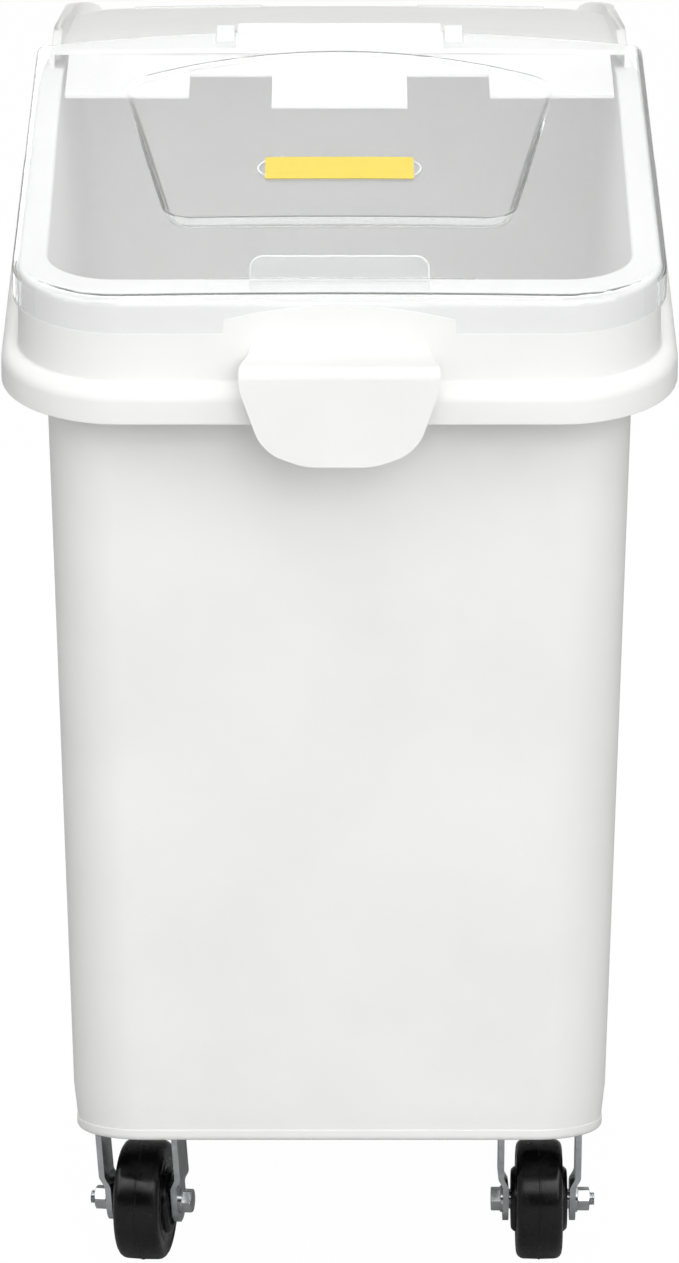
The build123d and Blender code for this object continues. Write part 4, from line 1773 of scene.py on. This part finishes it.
@dataclass
class HingePin:
    """Steel pin through the rear lid's knuckle, with round ends inside the clear lid's lugs."""

    lid: FrontLid
    radius: float = 2.5
    end_wall: float = 2.0
    end_round: float = 0.6

    def build(self) -> bpy.types.Object:
        """Makes the pin on the hinge's axis."""
        half = self.lid.lug_from + self.lid.lug_width - self.end_wall
        bm = turned(both_sides(((half, 0.0, 0.0), (half, self.radius, self.end_round))), PIN_FACES)
        place = Matrix.Translation((0, self.lid.hinge_y, self.lid.hinge_z))
        move(bm, place)
        return Piece("hinge_pin_turned", body_of("hinge_pin"), Slot.STEEL, ("hinge_pin",)).finish(bm)


@dataclass(frozen=True)
class BentSheet:
    """Steel sheet bent down both sides of a crown, with legs that taper to round ends on the axle.

    Heights and depths are from the axle's middle.

    Attributes:
        top: Height of the crown's top.
        crown_front: Y of the crown's front edge.
        crown_rear: Y of the crown's rear edge.
        hole_radius: Radius of the kingpin's hole, or zero for none.
        hole_y: Y of the kingpin's hole.
    """

    top: float
    crown_front: float
    crown_rear: float
    hole_radius: float = 0.0
    hole_y: float = 0.0
    wall: float = 3.5
    upper_half: float = 24.75
    bend: float = 6.5
    joggle: float = 3.0
    joggle_rise: float = 9.5
    joggle_height: float = 8.0
    end_radius: float = 13.0
    end_flat: float = 0.05
    edge_round: float = 0.6

    # Cuts across a bend and across a leg's joggle, and steps of a round end
    CUTS = 8

    @property
    def flat(self) -> float:
        """Half length of the crown's flat."""
        return self.upper_half - self.bend

    @property
    def leg_start(self) -> float:
        """Distance along the sheet from the crown's middle to a leg's straight run."""
        return self.flat + self.bend * math.pi / 2

    def along(self, height: float) -> float:
        """Distance along the sheet to a height on a leg."""
        return self.leg_start + self.top - self.bend - height

    def low_edge(self, crown_edge: float, side: int) -> float:
        """Y at which a leg's edge, run on as a tangent to its round end, meets the end's lowest line.

        Args:
            crown_edge: Y of the edge at the crown.
            side: -1 for the front edge and 1 for the rear edge.

        Returns:
            The Y at the lowest line.
        """
        start = Vector((crown_edge, self.top - self.bend))
        heading = math.atan2(-start.y, -start.x) + side * math.asin(self.end_radius / start.length)
        return start.x - (self.end_radius + start.y) / math.tan(heading)

    def settle(self, place: Vector) -> Vector:
        """Bends a point of the flat sheet down a side.

        Args:
            place: X along the sheet from the crown's middle, Y across it, Z out of its outer face.

        Returns:
            The point's real position.
        """
        run = abs(place.x)
        if run <= self.flat:
            across, height = run, self.top + place.z
        elif run <= self.leg_start:
            turn = (run - self.flat) / self.bend
            reach = self.bend + place.z
            across = self.flat + reach * math.sin(turn)
            height = self.top - self.bend + reach * math.cos(turn)
        else:
            height = self.top - self.bend - (run - self.leg_start)
            share = (self.joggle_rise + self.joggle_height - height) / self.joggle_height
            share = min(max(share, 0.0), 1.0)
            across = self.upper_half + place.z - self.joggle * share**2 * (3 - 2 * share)
        return Vector((math.copysign(across, place.x), place.y, height))

    def mesh(self) -> BMesh:
        """Draws the sheet from its flat outline."""
        foot = self.along(-self.end_radius)
        front = self.low_edge(self.crown_front, -1)
        rear = self.low_edge(self.crown_rear, 1)
        half = (
            (self.leg_start, self.crown_front, 0.0),
            (foot, front, abs(front)),
            (foot, rear, abs(rear)),
            (self.leg_start, self.crown_rear, 0.0),
        )
        places = both_sides(half)
        bm = bmesh.new()
        verts = [bm.verts.new((run, y, 0)) for run, y, _ in places]
        bm.faces.new(verts)
        for vert, (_, _, size) in zip(verts, places):
            if size:
                round_corners(bm, [vert], size - self.end_flat, self.CUTS)
        if self.hole_radius:
            bmesh.ops.delete(bm, geom=bm.faces[:], context="FACES_ONLY")
            middle = Matrix.Translation((0, self.hole_y, 0))
            bmesh.ops.create_circle(bm, radius=self.hole_radius, segments=PIN_FACES, matrix=middle)
            bmesh.ops.triangle_fill(bm, edges=bm.edges[:], use_beauty=True)
        draw_out(bm, bm.faces[:], Vector((0, 0, -self.wall)))
        round_edges(bm, sharp_edges(bm), self.edge_round, 2)
        knee = self.along(self.joggle_rise + self.joggle_height)
        runs = ((self.flat, self.leg_start), (knee, self.along(self.joggle_rise)))
        cuts = [place for start, end in runs for place in evenly(start, end, self.CUTS)]
        cut_across(bm, ACROSS, [*cuts, *(-run for run in cuts)])
        for vert in bm.verts:
            vert.co = self.settle(vert.co)
        face_outwards(bm)
        return bm


@dataclass(frozen=True)
class Fastener:
    """Hexagon bolt across the fork, with its nut and washers. The bolt's head is towards +X."""

    radius: float = 4.0
    bore: float = 4.05
    flats: float = 13.0
    head: float = 5.5
    nut: float = 7.0
    thread_end: float = 3.0
    pitch: float = 1.25
    thread_depth: float = 0.7
    thread_bury: float = 0.5
    shank_bury: float = 1.0
    core: float = 0.5
    leg: float = 21.75
    washer_wall: float = 1.5
    washer_radius: float = 8.0
    washer_round: float = 0.4
    corner_round: float = 0.5

    # Planes that make the cone at a hexagon's end, and its slope from the end face in degrees
    CONE_STEPS = 36
    CONE_SLOPE = 30.0
    # Shares of the pitch at which a thread's ridge starts, reaches its crest, leaves it and ends
    RIDGE = (0.0, 0.44, 0.56, 1.0)

    @property
    def seat(self) -> float:
        """Distance of the washers' outer faces from the wheel's middle."""
        return self.leg + self.washer_wall

    def hexagon(self, height: float, bore: float, ends: Sequence[int]) -> BMesh:
        """A hexagon along X from the origin.

        Args:
            height: Length along X.
            bore: Radius of its hole, or zero for none.
            ends: Ends that are turned to a cone, 1 for the far end and -1 for the near end.

        Returns:
            The closed mesh.
        """
        bm = bmesh.new()
        upright = Matrix.Rotation(math.pi / 2, 4, "Y")
        outer = bmesh.ops.create_circle(bm, radius=self.flats / math.sqrt(3), segments=6, matrix=upright)
        bmesh.ops.contextual_create(bm, geom=bm.edges[:])
        round_corners(bm, outer["verts"], self.corner_round, 3)
        if bore:
            bmesh.ops.delete(bm, geom=bm.faces[:], context="FACES_ONLY")
            bmesh.ops.create_circle(bm, radius=bore, segments=PIN_FACES, matrix=upright)
            bmesh.ops.triangle_fill(bm, edges=bm.edges[:], use_beauty=True)
        draw_out(bm, bm.faces[:], Vector((height, 0, 0)))
        slope = math.radians(self.CONE_SLOPE)
        for end in ends:
            for number in range(self.CONE_STEPS):
                turn = 2 * math.pi * number / self.CONE_STEPS
                out = Vector((0, math.cos(turn), math.sin(turn)))
                place = Vector((height if end > 0 else 0, 0, 0)) + out * self.flats / 2
                cut_off(bm, place, Vector((end * math.cos(slope), 0, 0)) + out * math.sin(slope))
                fill_holes(bm)
        face_outwards(bm)
        return bm

    def thread(self, start: float, end: float) -> BMesh:
        """A screw thread along X.

        Args:
            start: X of its near end.
            end: X of its far end.

        Returns:
            The closed mesh.
        """
        bm = bmesh.new()
        low = self.radius - self.thread_depth
        ridge = zip(self.RIDGE, (low, self.radius, self.radius, low))
        first = start - self.pitch
        verts = [bm.verts.new((first + share * self.pitch, 0, radius)) for share, radius in ridge]
        edges = [bm.edges.new(pair) for pair in zip(verts, verts[1:])]
        turns = math.ceil((end - start) / self.pitch) + 2
        bmesh.ops.spin(
            bm, geom=[*verts, *edges], cent=(0, 0, 0), axis=ACROSS, dvec=(self.pitch / PIN_FACES, 0, 0),
            angle=2 * math.pi * turns, steps=PIN_FACES * turns,
        )
        bmesh.ops.remove_doubles(bm, verts=bm.verts[:], dist=MERGE_SLACK)
        for place, out in ((start, -1), (end, 1)):
            cut_off(bm, Vector((place, 0, 0)), Vector((out, 0, 0)))
        fill_holes(bm)
        face_outwards(bm)
        return bm

    def bolt_mesh(self) -> BMesh:
        """Head, shank and threaded end."""
        head = self.hexagon(self.head, 0.0, (1,))
        bmesh.ops.translate(head, vec=Vector((self.seat, 0, 0)), verts=head.verts[:])
        shank_end = self.seat + self.shank_bury
        shank = (
            (-self.seat, self.core, 0.0),
            (shank_end, self.core, 0.0),
            (shank_end, self.radius, 0.0),
            (-self.seat, self.radius, 0.0),
        )
        thread = self.thread(-self.seat - self.nut - self.thread_end, -self.seat + self.thread_bury)
        return gather((head, turned(shank, PIN_FACES), thread))

    def nut_mesh(self) -> BMesh:
        """Nut on the threaded end."""
        nut = self.hexagon(self.nut, self.bore, (-1, 1))
        bmesh.ops.translate(nut, vec=Vector((-self.seat - self.nut, 0, 0)), verts=nut.verts[:])
        return nut

    def washer_mesh(self) -> BMesh:
        """Washers on both legs."""
        right = (
            (self.leg, self.bore, 0.0),
            (self.seat, self.bore, 0.0),
            (self.seat, self.washer_radius, self.washer_round),
            (self.leg, self.washer_radius, 0.0),
        )
        left = [(-along, radius, size) for along, radius, size in right]
        return gather((turned(right, WASHER_FACES), turned(left, WASHER_FACES)))


@dataclass(frozen=True)
class Wheel:
    """Black wheel: a hard hub with a boss and a rim round a recess, under a moulded tyre."""

    tread: float = 36.1
    tread_edge: float = 35.7
    mould_line: float = 36.45
    line_half: float = 0.3
    groove_outer: float = 29.6
    groove_inner: float = 24.5
    groove_depth: float = 0.5
    groove_round: float = 0.2
    edge_round: float = 0.4
    half_width: float = 13.75
    shoulder: float = 4.5
    hub_half: float = 16.75
    hub_radius: float = 19.5
    boss: float = 10.5
    bore: float = 6.05
    seat_half: float = 9.0
    seat_radius: float = 25.0
    recess: float = 2.5
    recess_round: float = 0.5
    bore_round: float = 0.3
    rim_width: float = 2.6
    bevel: float = 1.8
    gap: float = 0.05

    def tyre_mesh(self) -> BMesh:
        """Tyre with a slightly crowned tread, a mould line and a groove in each side wall."""
        side = self.half_width
        inner = self.hub_radius + self.gap
        seat = self.seat_half + self.gap
        depth = self.groove_depth
        half = (
            (self.line_half, self.mould_line, 0.0),
            (2 * self.line_half, self.tread, 0.0),
            (side, self.tread_edge, self.shoulder),
            (side, self.groove_outer, self.groove_round),
            (side - depth, self.groove_outer - depth, self.groove_round),
            (side - depth, self.groove_inner + depth, self.groove_round),
            (side, self.groove_inner, self.groove_round),
            (side, inner, self.edge_round),
            (seat, inner, 0.0),
            (seat, self.seat_radius + self.gap, 0.0),
        )
        return turned(both_sides(half), TYRE_FACES)

    def hub_mesh(self) -> BMesh:
        """Hub with recessed faces and a seat for the tyre."""
        half = self.hub_half
        rim = self.hub_radius - self.bevel - self.rim_width
        sunk = half - self.recess
        profile = (
            (half, self.bore, self.bore_round),
            (half, self.boss, self.recess_round),
            (sunk, self.boss + self.bevel / 2, self.recess_round),
            (sunk, rim - self.bevel / 2, self.recess_round),
            (half, rim, self.edge_round),
            (half, self.hub_radius - self.bevel, self.edge_round),
            (half - self.bevel, self.hub_radius, self.edge_round),
            (self.seat_half, self.hub_radius, 0.0),
            (self.seat_half, self.seat_radius, 0.0),
        )
        return turned(both_sides(profile), HUB_FACES)


@dataclass(frozen=True)
class Caster:
    """A caster on its axle.

    Attributes:
        name: Start of the names of its solids.
        axle: Middle of its axle.
        turn: Turn of its axle about Z in radians.
        head_side: Side of the bolt's head along the axle, 1 or -1.
    """

    name: str
    axle: Vector
    turn: float
    head_side: int

    # Heights of the tub's floor and of the fork's top above the axle, and the swivel's trail
    FLOOR = 67.5
    FORK_TOP = 59.5
    TRAIL = 20.0

    def add(self, part: str, look: str, slot: Slot, bm: BMesh, flipped: bool = False) -> None:
        """Puts a mesh on the axle and makes it a piece.

        Args:
            part: End of the name of the solid that it stands for.
            look: End of the piece's own name.
            slot: Material slot.
            bm: Mesh about the axle's middle, which is freed.
            flipped: Whether the mesh is turned to the bolt's side.
        """
        turn = self.turn + (math.pi if flipped and self.head_side < 0 else 0.0)
        place = Matrix.Translation(self.axle) @ Matrix.Rotation(turn, 4, "Z")
        move(bm, place)
        node = f"{self.name}_{part}"
        Piece(f"{self.name}_{look}", body_of(node), slot, (node,)).finish(bm)

    def sheet_mesh(self) -> BMesh:
        """The bent sheet that holds the axle, about the axle's middle."""
        raise NotImplementedError

    def build(self, sheet: str, wheel: Wheel, fastener: Fastener) -> None:
        """Makes the wheel, the fastener and the bent sheet.

        Args:
            sheet: End of the bent sheet's solid name.
            wheel: Wheel of the caster.
            fastener: Bolt across the fork.
        """
        self.add("tyre", "tyre_rubber", Slot.TYRE, wheel.tyre_mesh())
        self.add("hub", "hub_moulding", Slot.HUB, wheel.hub_mesh())
        self.add("axle_bolt", "hexagon_bolt", Slot.ZINC, fastener.bolt_mesh(), flipped=True)
        self.add("axle_nut", "hexagon_nut", Slot.ZINC, fastener.nut_mesh(), flipped=True)
        self.add("axle_washers", "flat_washers", Slot.ZINC, fastener.washer_mesh())
        self.add(sheet, f"{sheet}_pressing", Slot.ZINC, self.sheet_mesh())


@dataclass(frozen=True)
class SwivelCaster(Caster):
    """Front caster whose fork trails behind its kingpin."""

    race_low: float = 56.0
    race_top: float = 60.85
    race_inner: float = 13.0
    race_outer: float = 21.0
    track_height: float = 61.55
    track_radius: float = 17.0
    ball_radius: float = 3.15
    race_round: float = 0.4
    crown_front: float = 12.0
    crown_rear: float = 14.0
    kingpin_hole: float = 5.3

    def race_mesh(self) -> BMesh:
        """Lower ball race on the crown, with the balls' groove."""
        rise = self.track_height - self.race_top
        edge = math.acos(rise / self.ball_radius)
        groove: list[tuple[float, float, float]] = []
        for turn in evenly(-edge, edge, BEND_CUTS):
            height = self.track_height - self.ball_radius * math.cos(turn)
            groove.append((height, self.track_radius + self.ball_radius * math.sin(turn), 0.0))
        profile = [(self.race_low, self.race_inner, 0.0), (self.race_top, self.race_inner, 0.0), *groove]
        profile += [(height, self.race_outer, self.race_round) for height in (self.race_top, self.race_low)]
        bm = turned(profile, RACE_FACES)
        place = Matrix.Translation((0, -self.TRAIL, 0)) @ Matrix.Rotation(-math.pi / 2, 4, "Y")
        move(bm, place)
        return bm

    def sheet_mesh(self) -> BMesh:
        """The fork with its lower ball race."""
        pivot = -self.TRAIL
        front, rear = pivot - self.crown_front, pivot + self.crown_rear
        fork = BentSheet(self.FORK_TOP, front, rear, self.kingpin_hole, pivot)
        return gather((fork.mesh(), self.race_mesh()))


@dataclass(frozen=True)
class RigidCaster(Caster):
    """Rear caster whose bracket is one pressing with its plate."""

    plate_half_width: float = 27.0
    plate_half_length: float = 26.0
    plate_corner: float = 9.0
    plate_wall: float = 2.5
    plate_round: float = 0.5
    crown_half: float = 12.0
    bury: float = 0.2

    def sheet_mesh(self) -> BMesh:
        """The bracket with its plate."""
        plate = bmesh.new()
        Outline(self.plate_half_width, self.plate_half_length, self.plate_corner, 0.0).face(plate, self.FLOOR)
        draw_out(plate, plate.faces[:], Vector((0, 0, -self.plate_wall)))
        round_edges(plate, sharp_edges(plate), self.plate_round, 2)
        legs = BentSheet(self.FLOOR - self.bury, -self.crown_half, self.crown_half)
        return gather((plate, legs.mesh()))


def body_of(node: str) -> str:
    """Name of the body that a solid belongs to."""
    groups = frame["record"]["behaviour"]["bodies"]
    return next(body for body, members in groups.items() if node in members)


def read_casters() -> list[Caster]:
    """The four casters with their axles from the wheels' joints."""
    casters: list[Caster] = []
    for joint in frame["joints"]:
        name, ending, _ = joint["name"].partition("_wheel_spin")
        if not ending:
            continue
        axle = Vector(joint["pos_m"]) / MM
        turn = math.atan2(joint["axis"][1], joint["axis"][0])
        kind = SwivelCaster if name.startswith("front") else RigidCaster
        casters.append(kind(name, axle, turn, 1 if axle.x < 0 else -1))
    return casters


# Solids that stay as they are, by the end of their names
NODE_SLOTS: dict[str, Slot] = {
    "balls": Slot.STEEL,
    "axle_sleeve": Slot.STEEL,
    "top_plate": Slot.ZINC,
    "kingpin": Slot.ZINC,
    "plate_bolts": Slot.ZINC,
}


def dress_solids() -> None:
    """Gives each solid that still shows its finish."""
    for name, solid in frame["nodes"].items():
        if solid.hide_render:
            continue
        slot = next(slot for ending, slot in NODE_SLOTS.items() if name.endswith(ending))
        solid.data.materials.clear()
        solid.data.materials.append(FINISHES[slot].material())


@dataclass(frozen=True)
class SoftLamp:
    """Square lamp that faces the bin's middle.

    Attributes:
        name: Name of the lamp.
        place: Its place in metres.
        size: Length of its sides in metres.
        power: Its power in watts.
        mirrored: Whether glossy surfaces show it.
        spread: Angle of its beam in degrees.
    """

    name: str
    place: tuple[float, float, float]
    size: float
    power: float
    mirrored: bool = True
    spread: float = 180.0

    # Height in metres that lamps are aimed at
    AIM = 0.4

    def build(self) -> None:
        """Adds the lamp."""
        data = bpy.data.lights.new(self.name, "AREA")
        data.size = self.size
        data.energy = self.power
        data.spread = math.radians(self.spread)
        lamp = bpy.data.objects.new(self.name, data)
        lamp.location = self.place
        lamp.visible_glossy = self.mirrored
        aim = UP * self.AIM - Vector(self.place)
        lamp.rotation_euler = aim.to_track_quat("-Z", "Y").to_euler()
        bpy.context.scene.collection.objects.link(lamp)


LAMPS = (
    SoftLamp("front_lamp", (0.6, -5.0, 1.5), 2.4, 62.0, mirrored=False),
    SoftLamp("right_lamp", (1.7, -2.0, 1.3), 1.4, 7.0),
    SoftLamp("left_lamp", (-1.8, -1.6, 1.5), 1.4, 5.0),
    SoftLamp("high_lamp", (0.2, -2.6, 2.6), 2.4, 20.0),
    SoftLamp("back_lamp", (-0.6, 3.0, 1.0), 2.0, 24.0, mirrored=False),
    SoftLamp("top_lamp", (0.0, -0.5, 2.4), 0.5, 0.35, mirrored=False, spread=26.0),
)


@dataclass
class Studio:
    """White floor and background, soft lamps and the camera of the photograph."""

    camera_place: tuple[float, float, float] = (0.0, -4.2085, 1.037)
    camera_pitch: float = 80.614
    focal_pixels: float = 6792.0
    picture_height: float = 1263.0
    sensor: float = 36.0
    floor_size: float = 30.0
    floor_colour: str = "#C4C4C4"
    floor_glow: float = 0.93
    glow_level: float = 1.05
    ambient: float = 0.49
    sky_level: float = 1.75
    surround_grey: str = "#D0D0D0"
    card_grey: str = "#8C8C8C"
    room_grey: str = "#3A3A3A"
    white: str = "#FFFFFF"
    card_zone: tuple[float, float] = (0.1, 0.45)
    room_zone: tuple[float, float] = (-0.3, -0.85)
    sky_zone: tuple[float, float] = (0.35, 0.75)

    def camera(self) -> None:
        """Adds the camera."""
        data = bpy.data.cameras.new("photo_camera")
        data.sensor_fit = "VERTICAL"
        data.sensor_height = self.sensor
        data.lens = self.focal_pixels * self.sensor / self.picture_height
        camera = bpy.data.objects.new("photo_camera", data)
        camera.location = self.camera_place
        camera.rotation_euler = (math.radians(self.camera_pitch), 0, 0)
        bpy.context.scene.collection.objects.link(camera)
        bpy.context.scene.camera = camera

    def seen_rays(self, tree: bpy.types.NodeTree, kind: str) -> bpy.types.NodeSocket:
        """One for rays that show the background to the eye.

        Args:
            tree: Node tree of the floor or the world.
            kind: Kind of ray that counts besides those bent by glass.

        Returns:
            Zero for other rays and for those that left a matt surface, which only carry light.
        """
        rays = add_node(tree, "ShaderNodeLightPath").outputs
        kinds = {0: rays[kind], 1: rays["Is Transmission Ray"]}
        every = add_node(tree, "ShaderNodeMath", kinds, operation="MAXIMUM").outputs[0]
        lit = {0: rays["Diffuse Depth"], 1: 0.5}
        direct = add_node(tree, "ShaderNodeMath", lit, operation="LESS_THAN").outputs[0]
        return add_node(tree, "ShaderNodeMath", {0: every, 1: direct}, operation="MULTIPLY").outputs[0]

    def world(self) -> None:
        """Sets soft light from all round and a background that is white to the eye.

        Mirrored and bent rays also find a pale surround with a bright sky, grey cards beside the bin and the
        dark room behind the camera.
        """
        world = bpy.data.worlds.new("studio")
        bpy.context.scene.world = world
        world.use_nodes = True
        tree = world.node_tree
        tree.nodes.clear()
        white = hex_linear(self.white)
        heading = add_node(tree, "ShaderNodeTexCoord").outputs["Generated"]
        axes = add_node(tree, "ShaderNodeSeparateXYZ", {"Vector": heading}).outputs
        aside = add_node(tree, "ShaderNodeMath", {0: axes["X"]}, operation="ABSOLUTE").outputs[0]
        zones = (
            (aside, self.card_zone, hex_linear(self.card_grey)),
            (axes["Y"], self.room_zone, hex_linear(self.room_grey)),
            (axes["Z"], self.sky_zone, (self.sky_level, self.sky_level, self.sky_level, 1.0)),
        )
        room = hex_linear(self.surround_grey)
        for value, (first, last), grey in zones:
            reach = {"Value": value, "From Min": first, "From Max": last}
            share = add_node(tree, "ShaderNodeMapRange", reach, interpolation_type="SMOOTHSTEP")
            parts = {0: share.outputs["Result"], MIX_FIRST: room, MIX_SECOND: grey}
            room = add_node(tree, "ShaderNodeMix", parts, data_type="RGBA").outputs[MIX_RESULT]
        light = add_node(tree, "ShaderNodeBackground", {"Color": white, "Strength": self.ambient}).outputs[0]
        mirrored = add_node(tree, "ShaderNodeBackground", {"Color": room, "Strength": 1.0}).outputs[0]
        plain = add_node(tree, "ShaderNodeBackground", {"Color": white, "Strength": 1.0}).outputs[0]
        straight = add_node(tree, "ShaderNodeLightPath").outputs["Is Camera Ray"]
        seen = self.seen_rays(tree, "Is Glossy Ray")
        both = add_node(tree, "ShaderNodeMixShader", {0: seen, 1: light, 2: mirrored}).outputs[0]
        shown = add_node(tree, "ShaderNodeMixShader", {0: straight, 1: both, 2: plain}).outputs[0]
        add_node(tree, "ShaderNodeOutputWorld", {"Surface": shown})

    def floor(self) -> None:
        """Adds the pale floor, white to the eye except in the bin's shadow."""
        bm = bmesh.new()
        bmesh.ops.create_grid(bm, x_segments=1, y_segments=1, size=self.floor_size / 2)
        mesh = bpy.data.meshes.new("floor")
        bm.to_mesh(mesh)
        bm.free()
        paint = bpy.data.materials.new("painted_floor_white")
        paint.use_nodes = True
        tree = paint.node_tree
        tree.nodes.clear()
        matt = add_node(tree, "ShaderNodeBsdfDiffuse", {"Color": hex_linear(self.floor_colour)})
        light = {"Color": hex_linear(self.white), "Strength": self.glow_level}
        glow = add_node(tree, "ShaderNodeEmission", light)
        parts = {0: self.floor_glow, 1: matt.outputs[0], 2: glow.outputs[0]}
        shown = add_node(tree, "ShaderNodeMixShader", parts)
        both = add_node(
            tree,
            "ShaderNodeMixShader",
            {0: self.seen_rays(tree, "Is Camera Ray"), 1: matt.outputs[0], 2: shown.outputs[0]},
        )
        add_node(tree, "ShaderNodeOutputMaterial", {"Surface": both.outputs[0]})
        mesh.materials.append(paint)
        floor = bpy.data.objects.new("floor", mesh)
        bpy.context.scene.collection.objects.link(floor)

    def build(self) -> None:
        """Sets the whole studio."""
        bpy.context.scene.view_settings.view_transform = "Standard"
        self.camera()
        self.world()
        self.floor()
        for lamp in LAMPS:
            lamp.build()


def box_middle(node: str) -> Vector:
    """Middle of a solid's box in millimetres."""
    low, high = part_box(node)
    return (low + high) / 2 / MM


def main() -> None:
    """Builds the bin piece by piece and sets the studio."""
    logging.basicConfig(level=logging.INFO)
    rim = read_rim(Tongue.reach)
    hinge = box_middle("hinge_pin")
    plates = ("front_left_top_plate", "front_right_top_plate", "rear_left_bracket", "rear_right_bracket")
    pads = [tuple(box_middle(name).xy) for name in plates]
    tub_low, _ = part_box("tub")
    Tub(rim, tub_low.z / MM).build(pads, Tongue(rim))
    lid = FrontLid(rim, hinge.y, hinge.z)
    lid.build()
    Label(lid).build()
    RearLid(rim, lid.rear, hinge.y, hinge.z).build()
    HingePin(lid).build()
    for caster in read_casters():
        caster.build("fork" if isinstance(caster, SwivelCaster) else "bracket", Wheel(), Fastener())
    dress_solids()
    Studio().build()


if __name__ == "__main__":
    main()
